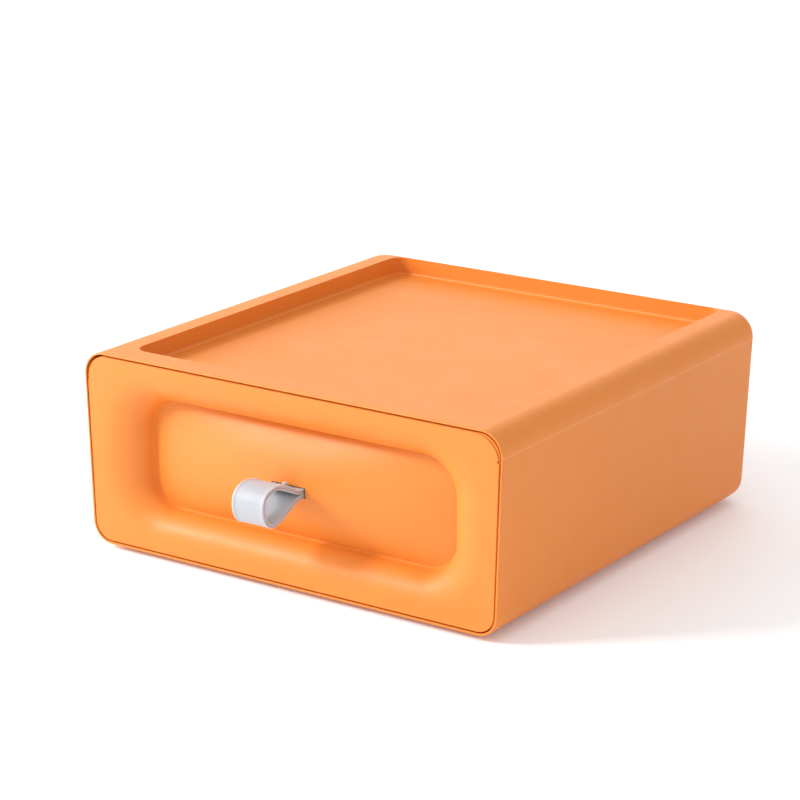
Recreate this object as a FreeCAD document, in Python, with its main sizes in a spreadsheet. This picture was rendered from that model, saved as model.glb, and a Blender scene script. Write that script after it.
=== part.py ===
import FreeCAD, Part
import math
import os
import re

import Sketcher

# Stackable drawer box: a moulded sleeve, a drawer with a sculpted front and a soft pull loop.
# Frame: +X to the right, +Y to the back, +Z up, origin on the ground under the middle of the box.

# Driving sizes in millimetres. Heights are from the ground and depths from the front plane.
SIZES = {
    # Sleeve, outside
    "body_width": 240,
    "body_depth": 243,
    "body_height": 97.4,
    "top_radius": 11.7,
    "bottom_radius": 11,
    "back_radius": 8,
    "back_rim_drop": 1.2,
    "back_foot_rise": 3,
    "straight_before_corner": 10,
    "mouth_bevel": 0.3,
    # Sleeve, walls and mouth
    "wall": 2.2,
    "lip_wall": 1.2,
    "mouth_depth": 11.3,
    # Stacking recess in the top
    "side_land": 19.4,
    "front_land": 13.7,
    "back_land": 2.8,
    "recess_depth": 9.7,
    "recess_radius": 8,
    "recess_base_radius": 1.6,
    # Plinth that locates in the recess of the box below
    "plinth_drop": 2,
    "stacking_clearance": 0.8,
    "plinth_back_inset": 14,
    # Soft feet in the plinth
    "foot_radius": 7,
    "foot_thickness": 1.6,
    "foot_proud": 0.6,
    "foot_inset": 16,
    "foot_bevel": 0.3,
    "foot_clearance": 0.1,
    # Ribs the drawer slides on, and the stop at the mouth
    "runner_rise": 1.2,
    "runner_width": 3,
    "runner_inset": 38,
    "runner_end_gap": 16,
    "stop_height": 0.9,
    "stop_width": 60,
    "stop_length": 2.4,
    "stop_back": 14.6,
    # Drawer front
    "front_gap": 0.6,
    "front_top_radius": 11.4,
    "flange_depth": 11,
    "front_wall": 2.2,
    "front_bevel": 0.3,
    "roll_side_inset": 10,
    "roll_level_inset": 7.2,
    "roll_radius": 30,
    "roll_side_run": 22.5,
    "roll_level_run": 14.7,
    "crease_radius": 17,
    "crease_depth": 14,
    "pillow_lift": 0.6,
    "pillow_rise": 10.8,
    # Slot for the strap
    "slot_width": 19.6,
    "slot_height": 5.4,
    "slot_radius": 1.2,
    "slot_drop": 1.7,
    # Snap tabs that hold the front on the tray
    "tab_width": 10,
    "tab_thickness": 1.8,
    "tab_hook": 1.2,
    "tab_hook_length": 1.6,
    "tab_clearance": 0.2,
    "tab_spacing": 120,
    # Drawer tray
    "tray_wall": 2,
    "tray_side_gap": 1.4,
    "tray_back_gap": 0.5,
    "tray_roof_gap": 1.5,
    "tray_radius": 9,
    "tray_base_radius": 7,
    "heel_height": 0.9,
    "heel_length": 3,
    # Strap and its pin
    "strap_width": 18,
    "strap_thickness": 2.3,
    "strap_reach": 28.3,
    "loop_radius": 9,
    "loop_drop": 0.9,
    "pip_radius": 1.3,
    "pip_height": 1.5,
    "pip_setback": 2.6,
    "pin_radius": 1.5,
    "pin_length": 27,
    "pin_clearance": 0.1,
    # Depth that stays in the sleeve when the drawer is open
    "drawer_hold": 53,
    "stop_clearance": 0.3,
    # How far a cut runs past the solid it cuts
    "overrun": 5,
}

# Angle in degrees
ANGLES = {"draft": 1.7}

# Places that several pieces share, worked out from the driving sizes
PLACES = {
    "front_plane": "(strap_reach - body_depth) / 2",
    "body_bottom": "foot_proud + plinth_drop",
    "body_top": "body_bottom + body_height",
    "parting_height": "body_top - top_radius",
    "recess_floor": "body_top - recess_depth",
    "recess_width": "body_width - 2 * side_land",
    "tray_bottom": "body_bottom + wall + runner_rise",
    "tray_top": "recess_floor - wall - tray_roof_gap",
    "front_inset": "lip_wall + front_gap",
    "tray_front": "crease_depth + front_wall",
    "roll_width": "body_width - 2 * roll_side_inset",
    "roll_height": "body_height - 2 * roll_level_inset",
    "crease_width": "roll_width - 2 * roll_side_run",
    "crease_height": "roll_height - 2 * roll_level_run",
    "pillow_middle": "body_bottom + body_height / 2 + pillow_lift",
    "slot_middle": "pillow_middle - slot_drop",
    "slot_depth": "crease_depth - pillow_rise",
    "eye_radius": "pin_radius + pin_clearance",
    "eye_depth": "slot_depth + front_wall + pin_clearance + strap_thickness + eye_radius",
    "drawer_travel": "body_depth - drawer_hold",
}

def even_shares(first, last, steps):
    """Evenly spaced shares from the first to the last"""
    return [first + (last - first) * i / steps for i in range(steps + 1)]


# Places of the outlines along the roll from the flat frame to the crease, as shares of a quarter turn
ROLL_SHARES = even_shares(0, 1, 6)
# Places of the outlines that close the sleeve's back corners, as shares of a quarter turn
CORNER_SHARES = even_shares(0, 1, 6)

document = FreeCAD.newDocument("drawer_box")
sheet = document.addObject("Spreadsheet::Sheet", "Sizes")
for row, (name, amount) in enumerate({**SIZES, **ANGLES}.items(), start=1):
    sheet.set(f"A{row}", name)
    sheet.set(f"B{row}", str(amount))
    sheet.setAlias(f"B{row}", name)
document.recompute()


# Expressions

def from_sheet(expression):
    """The expression with each place spelled out and each size read from the sheet"""
    def spell(word):
        name = word.group()
        if name in PLACES:
            return f"({from_sheet(PLACES[name])})"
        return f"Sizes.{name}" if sheet.getCellFromAlias(name) else name

    return re.sub(r"[a-z_]+", spell, expression)


def number(expression):
    """The expression's value now"""
    return float(sheet.evalExpression(from_sheet(expression)))


def bind(item, path, expression):
    """Ties a property of the item to the sheet"""
    item.setExpression(path, from_sheet(expression))


# Bodies, sketches and features

def start_body(name):
    """Empty body that is one sub-part"""
    body = document.addObject("PartDesign::Body", name)
    body.Label = name
    return body


def add_sketch(body, name, role, offset, leans=False):
    """Empty sketch parallel to one of the body's own origin planes, which can lean with the draft"""
    sketch = body.newObject("Sketcher::SketchObject", f"{body.Name}_{name}")
    plane = next(item for item in body.Origin.OriginFeatures if item.Role == role)
    sketch.AttachmentSupport = [(plane, "")]
    sketch.MapMode = "FlatFace"
    if leans:
        lean = FreeCAD.Rotation(FreeCAD.Vector(-1, 0, 0), number("draft"))
        sketch.AttachmentOffset = FreeCAD.Placement(FreeCAD.Vector(), lean)
        bind(sketch, ".AttachmentOffset.Rotation.Angle", "draft")
    bind(sketch, ".AttachmentOffset.Base.z", offset)
    return sketch


def front_sketch(body, name, depth, leans=False):
    """Sketch seen from the front, at a depth behind the front plane"""
    return add_sketch(body, name, "XZ_Plane", f"-(front_plane + {depth})", leans)


def plan_sketch(body, name, height):
    """Sketch seen from above, at a height over the ground"""
    return add_sketch(body, name, "XY_Plane", height)


def side_sketch(body, name):
    """Sketch seen from the right, in the plane through the middle of the box"""
    return add_sketch(body, name, "YZ_Plane", "0")


def name_sizes(sketch, sizes):
    """Adds each (name, constraint, expression) and ties its value to the sheet"""
    for name, constraint, expression in sizes:
        sketch.renameConstraint(sketch.addConstraint(constraint), name)
        bind(sketch, f"Constraints.{name}", expression)


def draw_loop(sketch, corners, radii, tangent_ends):
    """Closed loop of lines with an arc at each corner; each arc's two ends are tangent or only joined"""
    starts, ends, centres = [], [], []
    for i, corner in enumerate(corners):
        before = (corners[i - 1] - corner).normalize()
        after = (corners[(i + 1) % len(corners)] - corner).normalize()
        half_angle = before.getAngle(after) / 2
        reach = radii[i] / math.tan(half_angle)
        starts.append(corner + before * reach)
        ends.append(corner + after * reach)
        centres.append(corner + (before + after).normalize() * (radii[i] / math.sin(half_angle)))
    following = starts[1:] + starts[:1]
    lines = [sketch.addGeometry(Part.LineSegment(*span)) for span in zip(ends, following)]
    arcs = []
    for centre, radius, start, end in zip(centres, radii, starts, ends):
        circle = Part.Circle(centre, FreeCAD.Vector(0, 0, 1), radius)
        arc = Part.ArcOfCircle(circle, circle.parameter(start), circle.parameter(end))
        arcs.append(sketch.addGeometry(arc))
    for i, (tangent_start, tangent_end) in enumerate(tangent_ends):
        joint = "Tangent" if tangent_start else "Coincident"
        sketch.addConstraint(Sketcher.Constraint(joint, lines[i - 1], 2, arcs[i], 1))
        joint = "Tangent" if tangent_end else "Coincident"
        sketch.addConstraint(Sketcher.Constraint(joint, arcs[i], 2, lines[i], 1))
    return lines, arcs


def rounded_rectangle(sketch, width, height, radius, base):
    """Rounded rectangle centred on the sketch's upright axis, with its lower side at base"""
    half, low = number(width) / 2, number(base)
    high = low + number(height)
    corners = [FreeCAD.Vector(x, y) for x, y in ((-half, low), (half, low), (half, high), (-half, high))]
    lines, arcs = draw_loop(sketch, corners, [number(radius)] * 4, [(True, True)] * 4)
    lower, right, upper, left = lines
    sketch.addConstraint([
        Sketcher.Constraint("Symmetric", lower, 1, lower, 2, -2),
        Sketcher.Constraint("Horizontal", upper),
        Sketcher.Constraint("Vertical", left),
        Sketcher.Constraint("Vertical", right),
        *(Sketcher.Constraint("Equal", arcs[0], arc) for arc in arcs[1:]),
    ])
    name_sizes(sketch, [
        ("width", Sketcher.Constraint("DistanceX", left, 2, right, 1, 2 * half), width),
        ("height", Sketcher.Constraint("DistanceY", lower, 1, upper, 1, high - low), height),
        ("radius", Sketcher.Constraint("Radius", arcs[0], number(radius)), radius),
        ("base", Sketcher.Constraint("DistanceY", -1, 1, lower, 1, low), base),
    ])
    return sketch


def rectangle(sketch, left, right, low, high):
    """Rectangle between four places on the sketch's axes"""
    x0, x1, y0, y1 = (number(place) for place in (left, right, low, high))
    points = [FreeCAD.Vector(x, y) for x, y in ((x0, y0), (x1, y0), (x1, y1), (x0, y1))]
    sides = [sketch.addGeometry(Part.LineSegment(points[i - 1], points[i])) for i in range(len(points))]
    closing, lower, ending, upper = sides
    sketch.addConstraint([Sketcher.Constraint("Coincident", sides[i - 1], 2, sides[i], 1) for i in range(4)])
    sketch.addConstraint([
        Sketcher.Constraint("Vertical", closing),
        Sketcher.Constraint("Vertical", ending),
        Sketcher.Constraint("Horizontal", lower),
        Sketcher.Constraint("Horizontal", upper),
    ])
    count = sketch.GeometryCount
    name_sizes(sketch, [
        (f"left{count}", Sketcher.Constraint("DistanceX", -1, 1, closing, 2, x0), left),
        (f"right{count}", Sketcher.Constraint("DistanceX", -1, 1, lower, 2, x1), right),
        (f"low{count}", Sketcher.Constraint("DistanceY", -1, 1, closing, 2, y0), low),
        (f"high{count}", Sketcher.Constraint("DistanceY", -1, 1, ending, 2, y1), high),
    ])
    return sketch


def circle_at(sketch, x, y, radius):
    """Circle at a place on the sketch's axes"""
    centre = FreeCAD.Vector(number(x), number(y))
    ring = sketch.addGeometry(Part.Circle(centre, FreeCAD.Vector(0, 0, 1), number(radius)))
    name_sizes(sketch, [
        (f"x{ring}", Sketcher.Constraint("DistanceX", -1, 1, ring, 3, centre.x), x),
        (f"y{ring}", Sketcher.Constraint("DistanceY", -1, 1, ring, 3, centre.y), y),
        (f"radius{ring}", Sketcher.Constraint("Radius", ring, number(radius)), radius),
    ])
    return sketch


def drafted_outline(sketch, inset, upper_radius, side_in="0", top_in="0", foot_in="0"):
    """The box's outline from the front: upright corners over the parting line, drafted sides under it"""
    width = f"body_width - 2 * ({inset} + {side_in})"
    top = f"body_top - {inset} - {top_in}"
    base = f"body_bottom + {inset} + {foot_in}"
    lower_radius = f"bottom_radius - {inset}"
    half, low, high = number(width) / 2, number(base), number(top)
    lean = number(f"(parting_height - ({base})) * tan(draft)")
    places = ((lean - half, low), (half - lean, low), (half, high), (-half, high))
    radii = [number(lower_radius)] * 2 + [number(upper_radius)] * 2
    tangent_ends = [(True, True), (True, True), (False, True), (True, False)]
    lines, arcs = draw_loop(sketch, [FreeCAD.Vector(x, y) for x, y in places], radii, tangent_ends)
    lower, right, upper, left = lines
    low_left, low_right, high_right, high_left = arcs
    sketch.addConstraint([
        Sketcher.Constraint("Symmetric", lower, 1, lower, 2, -2),
        Sketcher.Constraint("Symmetric", upper, 1, upper, 2, -2),
        Sketcher.Constraint("Equal", low_left, low_right),
        Sketcher.Constraint("Equal", high_left, high_right),
        Sketcher.Constraint("Horizontal", high_right, 3, high_right, 1),
        Sketcher.Constraint("Horizontal", high_left, 3, high_left, 2),
    ])
    upright = math.pi / 2 - math.radians(number("draft"))
    name_sizes(sketch, [
        ("width", Sketcher.Constraint("DistanceX", high_left, 2, high_right, 1, 2 * half), width),
        ("top", Sketcher.Constraint("DistanceY", -1, 1, upper, 1, high), top),
        ("base", Sketcher.Constraint("DistanceY", -1, 1, lower, 1, low), base),
        ("upper_radius", Sketcher.Constraint("Radius", high_right, number(upper_radius)), upper_radius),
        ("lower_radius", Sketcher.Constraint("Radius", low_right, number(lower_radius)), lower_radius),
        ("lean", Sketcher.Constraint("Angle", right, upright), "(90 - draft) * 1 deg"),
    ])
    return sketch


def add_feature(body, kind, name, sketch, length, towards_normal):
    """Pad or Pocket of a sketch, along or against the sketch's normal"""
    feature = body.newObject(f"PartDesign::{kind}", f"{body.Name}_{name}")
    feature.Profile = (sketch, [])
    bind(feature, "Length", length)
    with_normal = kind == "Pad"
    feature.Reversed = towards_normal != with_normal
    return feature


def across(feature):
    """Lets a pad or pocket grow the same way to both sides of its sketch"""
    feature.SideType = "Symmetric"
    return feature


def add_loft(body, kind, name, sketches):
    """AdditiveLoft or SubtractiveLoft through a row of sketches"""
    feature = body.newObject(f"PartDesign::{kind}", f"{body.Name}_{name}")
    feature.Profile = (sketches[0], [])
    feature.Sections = [(sketch, [""]) for sketch in sketches[1:]]
    feature.Ruled = True
    return feature


def dress_edges(body, kind, name, size, belongs):
    """Fillet or Chamfer along the edges of the body's tip for which belongs(edge) is true"""
    document.recompute()
    base = body.Tip
    names = [f"Edge{i}" for i, edge in enumerate(base.Shape.Edges, start=1) if belongs(edge)]
    feature = body.newObject(f"PartDesign::{kind}", f"{body.Name}_{name}")
    feature.Base = (base, names)
    bind(feature, "Radius" if kind == "Fillet" else "Size", size)
    return feature


def lies_at(edge, axis, place):
    """Whether a whole edge lies at one place along an axis"""
    box = edge.BoundBox
    low, high = getattr(box, f"{axis}Min"), getattr(box, f"{axis}Max")
    return abs(low - place) < NEAR and abs(high - place) < NEAR


def spans(edge, axis, low, high):
    """Whether an edge runs from one place along an axis to another"""
    box = edge.BoundBox
    return abs(getattr(box, f"{axis}Min") - low) < NEAR and abs(getattr(box, f"{axis}Max") - high) < NEAR


def face_names(feature, belongs):
    """Names of the feature's faces whose bounding box belongs"""
    faces = enumerate(feature.Shape.Faces, start=1)
    return [f"Face{i}" for i, face in faces if belongs(face.BoundBox)]


# Sleeve

def corner_outlines(body, name, inset):
    """Outlines that run into the back and round its upright corners"""
    reach = f"(back_radius - {inset})"
    straight = "body_depth - back_radius - straight_before_corner"
    start = front_sketch(body, f"{name}_start", straight)
    sketches = [drafted_outline(start, inset, f"top_radius - {inset}")]
    for i, share in enumerate(CORNER_SHARES):
        closing = f"(1 - cos(90 * {share}))"
        depth = f"body_depth - back_radius + {reach} * sin(90 * {share}) - body_top * tan(draft)"
        sketch = front_sketch(body, f"{name}_{i}", depth, leans=True)
        drafted_outline(
            sketch, inset, f"top_radius - {inset}",
            f"{reach} * {closing}", f"back_rim_drop * {closing}", f"back_foot_rise * {closing}",
        )
        sketches.append(sketch)
    return sketches


def make_sleeve():
    """Outer moulding: open at the front, stacking recess in its top, plinth under it"""
    body = start_body("sleeve")
    straight = "body_depth - back_radius - straight_before_corner"
    outline = drafted_outline(front_sketch(body, "outline", "0"), "0", "top_radius")
    add_feature(body, "Pad", "shell", outline, straight, False)
    add_loft(body, "AdditiveLoft", "back", corner_outlines(body, "outer", "0"))
    mouth = drafted_outline(front_sketch(body, "mouth_outline", "0"), "lip_wall", "top_radius - lip_wall")
    add_feature(body, "Pocket", "mouth", mouth, "mouth_depth", False)
    bay = drafted_outline(front_sketch(body, "bay_outline", "mouth_depth"), "wall", "top_radius - wall")
    add_feature(body, "Pocket", "bay", bay, f"{straight} - mouth_depth", False)
    add_loft(body, "SubtractiveLoft", "bay_back", corner_outlines(body, "inner", "wall"))

    tub = rounded_rectangle(
        plan_sketch(body, "tub_outline", "body_top - wall / 2"), "recess_width + 2 * wall",
        "body_depth - front_land + wall / 2", "recess_radius + wall", "front_plane + front_land - wall",
    )
    add_feature(body, "Pad", "tub", tub, "recess_depth + wall / 2", False)
    recess = rounded_rectangle(
        plan_sketch(body, "recess_outline", "body_top"), "recess_width",
        "body_depth - front_land - back_land", "recess_radius", "front_plane + front_land",
    )
    add_feature(body, "Pocket", "recess", recess, "recess_depth", False)

    plinth_length = "body_depth - front_land - stacking_clearance - plinth_back_inset"
    plinth_front = "front_plane + front_land + stacking_clearance"
    plinth = rounded_rectangle(
        plan_sketch(body, "plinth_outline", "foot_proud"), "recess_width - 2 * stacking_clearance",
        plinth_length, "recess_radius - stacking_clearance", plinth_front,
    )
    add_feature(body, "Pad", "plinth", plinth, "plinth_drop + wall / 2", True)
    well = rounded_rectangle(
        plan_sketch(body, "well_outline", "body_bottom + wall"),
        "recess_width - 2 * (stacking_clearance + wall)", f"{plinth_length} - 2 * wall",
        "recess_radius - stacking_clearance - wall", f"{plinth_front} + wall",
    )
    add_feature(body, "Pocket", "well", well, "plinth_drop", False)

    seats = plan_sketch(body, "foot_seats", "foot_proud")
    for x, y in FOOT_PLACES.values():
        circle_at(seats, x, y, "foot_radius + foot_clearance")
    add_feature(body, "Pocket", "seats", seats, "foot_thickness - foot_proud", True)

    runners = plan_sketch(body, "runner_outlines", "foot_proud + wall / 2")
    rib = "(body_width / 2 - runner_inset)"
    for left, right in ((f"-{rib}", f"runner_width - {rib}"), (f"{rib} - runner_width", rib)):
        rectangle(
            runners, left, right,
            "front_plane + runner_end_gap", "front_plane + body_depth - plinth_back_inset - runner_end_gap",
        )
    add_feature(body, "Pad", "runners", runners, "tray_bottom - foot_proud - wall / 2", True)
    stop = rectangle(
        plan_sketch(body, "stop_outline", "body_bottom + wall / 2"), "-stop_width / 2", "stop_width / 2",
        "front_plane + stop_back - stop_length", "front_plane + stop_back",
    )
    add_feature(body, "Pad", "stop", stop, "wall / 2 + stop_height", True)

    floor, front = number("recess_floor"), number("front_plane")
    inside = number("recess_width / 2") + NEAR
    dress_edges(
        body, "Fillet", "recess_base", "recess_base_radius",
        lambda edge: lies_at(edge, "Z", floor) and edge.BoundBox.XMax < inside,
    )
    dress_edges(body, "Chamfer", "mouth_edges", "mouth_bevel", lambda edge: lies_at(edge, "Y", front))
    return body


# Drawer front

def roll_outlines(body, name, shares, skin):
    """Outlines down the roll, from the flat frame in to the crease, grown and set back by the skin"""
    sketches = []
    for i, share in enumerate(shares):
        run, fall = f"sin(90 * {share})", f"(1 - cos(90 * {share}))"
        width = f"roll_width - (roll_width - crease_width) * {run} + 2 * {skin}"
        height = f"roll_height - (roll_height - crease_height) * {run} + 2 * {skin}"
        radius = f"roll_radius - (roll_radius - crease_radius) * {run} + {skin}"
        sketch = front_sketch(body, f"{name}_{i}", f"crease_depth * {fall} + {skin}")
        sketches.append(rounded_rectangle(sketch, width, height, radius, f"pillow_middle - ({height}) / 2"))
    return sketches


def barrel_region(sketch, from_side, middle, half, skin):
    """Region ahead of a shallow arc that rises from the crease to the crown, seen from the side or above"""
    crown = f"(front_plane + slot_depth + {skin})"
    radius = f"(({half}) ^ 2 + pillow_rise ^ 2) / (2 * pillow_rise)"
    reach = f"({half} + overrun)"
    across, deep = ("DistanceY", "DistanceX") if from_side else ("DistanceX", "DistanceY")
    first, last = (f"{middle} + {reach}", f"{middle} - {reach}")
    if not from_side:
        first, last = last, first
    size, centre_depth = number(radius), number(f"{crown} + {radius}")
    fall = centre_depth - math.sqrt(size ** 2 - number(reach) ** 2)

    def at(place, depth):
        return FreeCAD.Vector(depth, place) if from_side else FreeCAD.Vector(place, depth)

    centre = at(number(middle), centre_depth)
    ends = [at(number(place), fall) for place in (first, last)]
    corners = [at(number(place), number(f"{crown} - overrun")) for place in (first, last)]
    circle = Part.Circle(centre, FreeCAD.Vector(0, 0, 1), size)
    arc = sketch.addGeometry(Part.ArcOfCircle(circle, *(circle.parameter(end) for end in ends)))
    level, upright = ("Horizontal", "Vertical") if from_side else ("Vertical", "Horizontal")
    near_last = sketch.addGeometry(Part.LineSegment(ends[1], corners[1]))
    ahead = sketch.addGeometry(Part.LineSegment(corners[1], corners[0]))
    near_first = sketch.addGeometry(Part.LineSegment(corners[0], ends[0]))
    sketch.addConstraint([
        Sketcher.Constraint("Coincident", arc, 2, near_last, 1),
        Sketcher.Constraint("Coincident", near_last, 2, ahead, 1),
        Sketcher.Constraint("Coincident", ahead, 2, near_first, 1),
        Sketcher.Constraint("Coincident", near_first, 2, arc, 1),
        Sketcher.Constraint(level, near_last),
        Sketcher.Constraint(level, near_first),
        Sketcher.Constraint(upright, ahead),
    ])
    front = number(f"{crown} - overrun")
    name_sizes(sketch, [
        ("middle", Sketcher.Constraint(across, -1, 1, arc, 3, number(middle)), middle),
        ("centre", Sketcher.Constraint(deep, -1, 1, arc, 3, centre_depth), f"{crown} + {radius}"),
        ("radius", Sketcher.Constraint("Radius", arc, size), radius),
        ("first", Sketcher.Constraint(across, -1, 1, arc, 1, number(first)), first),
        ("last", Sketcher.Constraint(across, -1, 1, arc, 2, number(last)), last),
        ("ahead", Sketcher.Constraint(deep, -1, 1, ahead, 1, front), f"{crown} - overrun"),
    ])
    return sketch


def pillow_block(name, skin):
    """Body with the crease's outline, its front curved both ways up to the crown"""
    body = start_body(name)
    outline = rounded_rectangle(
        front_sketch(body, "outline", f"slot_depth + {skin}"),
        "crease_width", "crease_height", "crease_radius", "pillow_middle - crease_height / 2",
    )
    add_feature(body, "Pad", "block", outline, "tray_front - slot_depth", False)
    side = barrel_region(side_sketch(body, "side_curve"), True, "pillow_middle", "crease_height / 2", skin)
    across(add_feature(body, "Pocket", "side_cut", side, "crease_width + 2 * overrun", True))
    above = plan_sketch(body, "plan_curve", "pillow_middle")
    barrel_region(above, False, "0", "crease_width / 2", skin)
    across(add_feature(body, "Pocket", "plan_cut", above, "crease_height + 2 * overrun", True))
    return body


def join_body(body, operation, other):
    """Fuses another body to this one, or cuts it out"""
    boolean = body.newObject("PartDesign::Boolean", f"{other.Name}_{operation.lower()}")
    boolean.setObjects([other])
    boolean.Type = operation


def make_drawer_front():
    """Front panel: flat frame, roll, crease and convex pillow in one skin, with snap tabs behind"""
    body = start_body("drawer_front")
    outline = drafted_outline(front_sketch(body, "outline", "0"), "front_inset", "front_top_radius")
    add_feature(body, "Pad", "block", outline, "flange_depth", False)
    hollow_inset = "front_inset + front_wall"
    hollow = drafted_outline(
        front_sketch(body, "hollow_outline", "front_wall"), f"({hollow_inset})",
        "front_top_radius - front_wall",
    )
    add_feature(body, "Pocket", "hollow", hollow, "flange_depth - front_wall", False)
    bowl_back = roll_outlines(body, "bowl_back", ROLL_SHARES[::2], "front_wall")
    add_loft(body, "AdditiveLoft", "bowl_back", bowl_back)
    add_loft(body, "SubtractiveLoft", "bowl", roll_outlines(body, "bowl", ROLL_SHARES, "0"))
    join_body(body, "Fuse", pillow_block("pillow", "0"))
    join_body(body, "Cut", pillow_block("pillow_core", "front_wall"))
    slot = rounded_rectangle(
        front_sketch(body, "slot_outline", "0"), "slot_width", "slot_height", "slot_radius",
        "slot_middle - slot_height / 2",
    )
    add_feature(body, "Pocket", "slot", slot, "tray_front", False)

    upper, lower = "(pillow_middle + crease_height / 2)", "(pillow_middle - crease_height / 2)"
    for name, thickness, start, length in (
        ("tabs", "tab_thickness", "crease_depth", "front_wall + tray_wall + tab_clearance"),
        ("hooks", "tab_thickness + tab_hook", "tray_front + tray_wall + tab_clearance", "tab_hook_length"),
    ):
        sketch = front_sketch(body, f"{name}_outline", start)
        for side in ("-", ""):
            left = f"{side}tab_spacing / 2 - tab_width / 2"
            right = f"{side}tab_spacing / 2 + tab_width / 2"
            for inner, outward in ((f"{upper} + tab_clearance", "+"), (f"{lower} - tab_clearance", "-")):
                low_high = sorted((inner, f"{inner} {outward} ({thickness})"), key=number)
                rectangle(sketch, left, right, *low_high)
        add_feature(body, "Pad", name, sketch, length, False)

    front = number("front_plane")
    reach = number("roll_width / 2") + NEAR
    dress_edges(
        body, "Chamfer", "outer_edge", "front_bevel",
        lambda edge: lies_at(edge, "Y", front)
        and (edge.BoundBox.XMax > reach or edge.BoundBox.XMin < -reach),
    )
    return body


# Drawer tray

def tray_outline(body, name, height, skin):
    """The tray's outline from above at a height, parallel to the sleeve's drafted inside"""
    half = f"(body_width / 2 - wall - tray_side_gap - {skin} - (parting_height - ({height})) * tan(draft))"
    back = f"(body_depth - wall - tray_back_gap - {skin} - (body_top - ({height})) * tan(draft))"
    return rectangle(
        plan_sketch(body, name, height), f"-{half}", half,
        f"front_plane + tray_front + {skin}", f"front_plane + {back}",
    )


def within(base, skin):
    """Test for a bounding box: inside the tray's outline, taken in by the skin, and over the base"""
    low = number(base) - NEAR
    reach = number(f"body_width / 2 - wall - tray_side_gap - {skin}")

    def belongs(box):
        return box.ZMin > low and -reach < box.XMin and box.XMax < reach

    return belongs


def tray_volume(body, kind, name, base, skin):
    """Pad or Pocket from a base height up to the rim, with its sides and back drafted outward"""
    outline = tray_outline(body, f"{name}_outline", base, skin)
    add_feature(body, kind, name, outline, f"tray_top - ({base})", True)
    document.recompute()
    feature = body.Tip
    low, front = number(base) + NEAR, number(f"front_plane + tray_front + {skin}") + NEAR
    belongs = within(base, skin)
    lean = body.newObject("PartDesign::Draft", f"{body.Name}_{name}_lean")
    lean.Base = (feature, face_names(
        feature, lambda box: belongs(box) and box.ZMin < low < box.ZMax and box.YMax > front
    ))
    lean.NeutralPlane = (feature, face_names(feature, lambda box: belongs(box) and box.ZMax < low))
    lean.Reversed = kind == "Pad"
    bind(lean, "Angle", "draft")


def round_tray(body, name, base, skin):
    """Rounds the upright corners and the base of one of the tray's volumes"""
    low, high = number(base), number("tray_top")
    belongs = within(base, skin)
    dress_edges(
        body, "Fillet", f"{name}_corners", f"tray_radius - {skin}",
        lambda edge: spans(edge, "Z", low, high) and belongs(edge.BoundBox),
    )
    dress_edges(
        body, "Fillet", f"{name}_base", f"tray_base_radius - {skin}",
        lambda edge: lies_at(edge, "Z", low) and belongs(edge.BoundBox),
    )


def make_drawer_tray():
    """Open tray, drafted like the sleeve, with windows for the front's tabs and a heel under its floor"""
    body = start_body("drawer_tray")
    block = ("tray_bottom", "0")
    bay = ("tray_bottom + tray_wall", "tray_wall")
    tray_volume(body, "Pad", "block", *block)
    tray_volume(body, "Pocket", "bay", *bay)
    round_tray(body, "bay", *bay)
    round_tray(body, "block", *block)

    windows = front_sketch(body, "windows", "tray_front")
    upper_edge, lower_edge = "(pillow_middle + crease_height / 2)", "(pillow_middle - crease_height / 2)"
    opening = "(tab_thickness + tab_hook + 2 * tab_clearance)"
    for side in ("-", ""):
        left = f"{side}tab_spacing / 2 - tab_width / 2 - tab_clearance"
        right = f"{side}tab_spacing / 2 + tab_width / 2 + tab_clearance"
        rectangle(windows, left, right, upper_edge, f"{upper_edge} + {opening}")
        rectangle(windows, left, right, f"{lower_edge} - {opening}", lower_edge)
    add_feature(body, "Pocket", "windows_cut", windows, "tray_wall", False)
    heel = rectangle(
        plan_sketch(body, "heel_outline", "tray_bottom - heel_height"), "-stop_width / 2", "stop_width / 2",
        "front_plane + stop_back + stop_clearance + drawer_travel",
        "front_plane + stop_back + stop_clearance + drawer_travel + heel_length",
    )
    add_feature(body, "Pad", "heel", heel, "heel_height + tray_wall / 2", True)
    return body


# Pull strap and its pin

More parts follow.
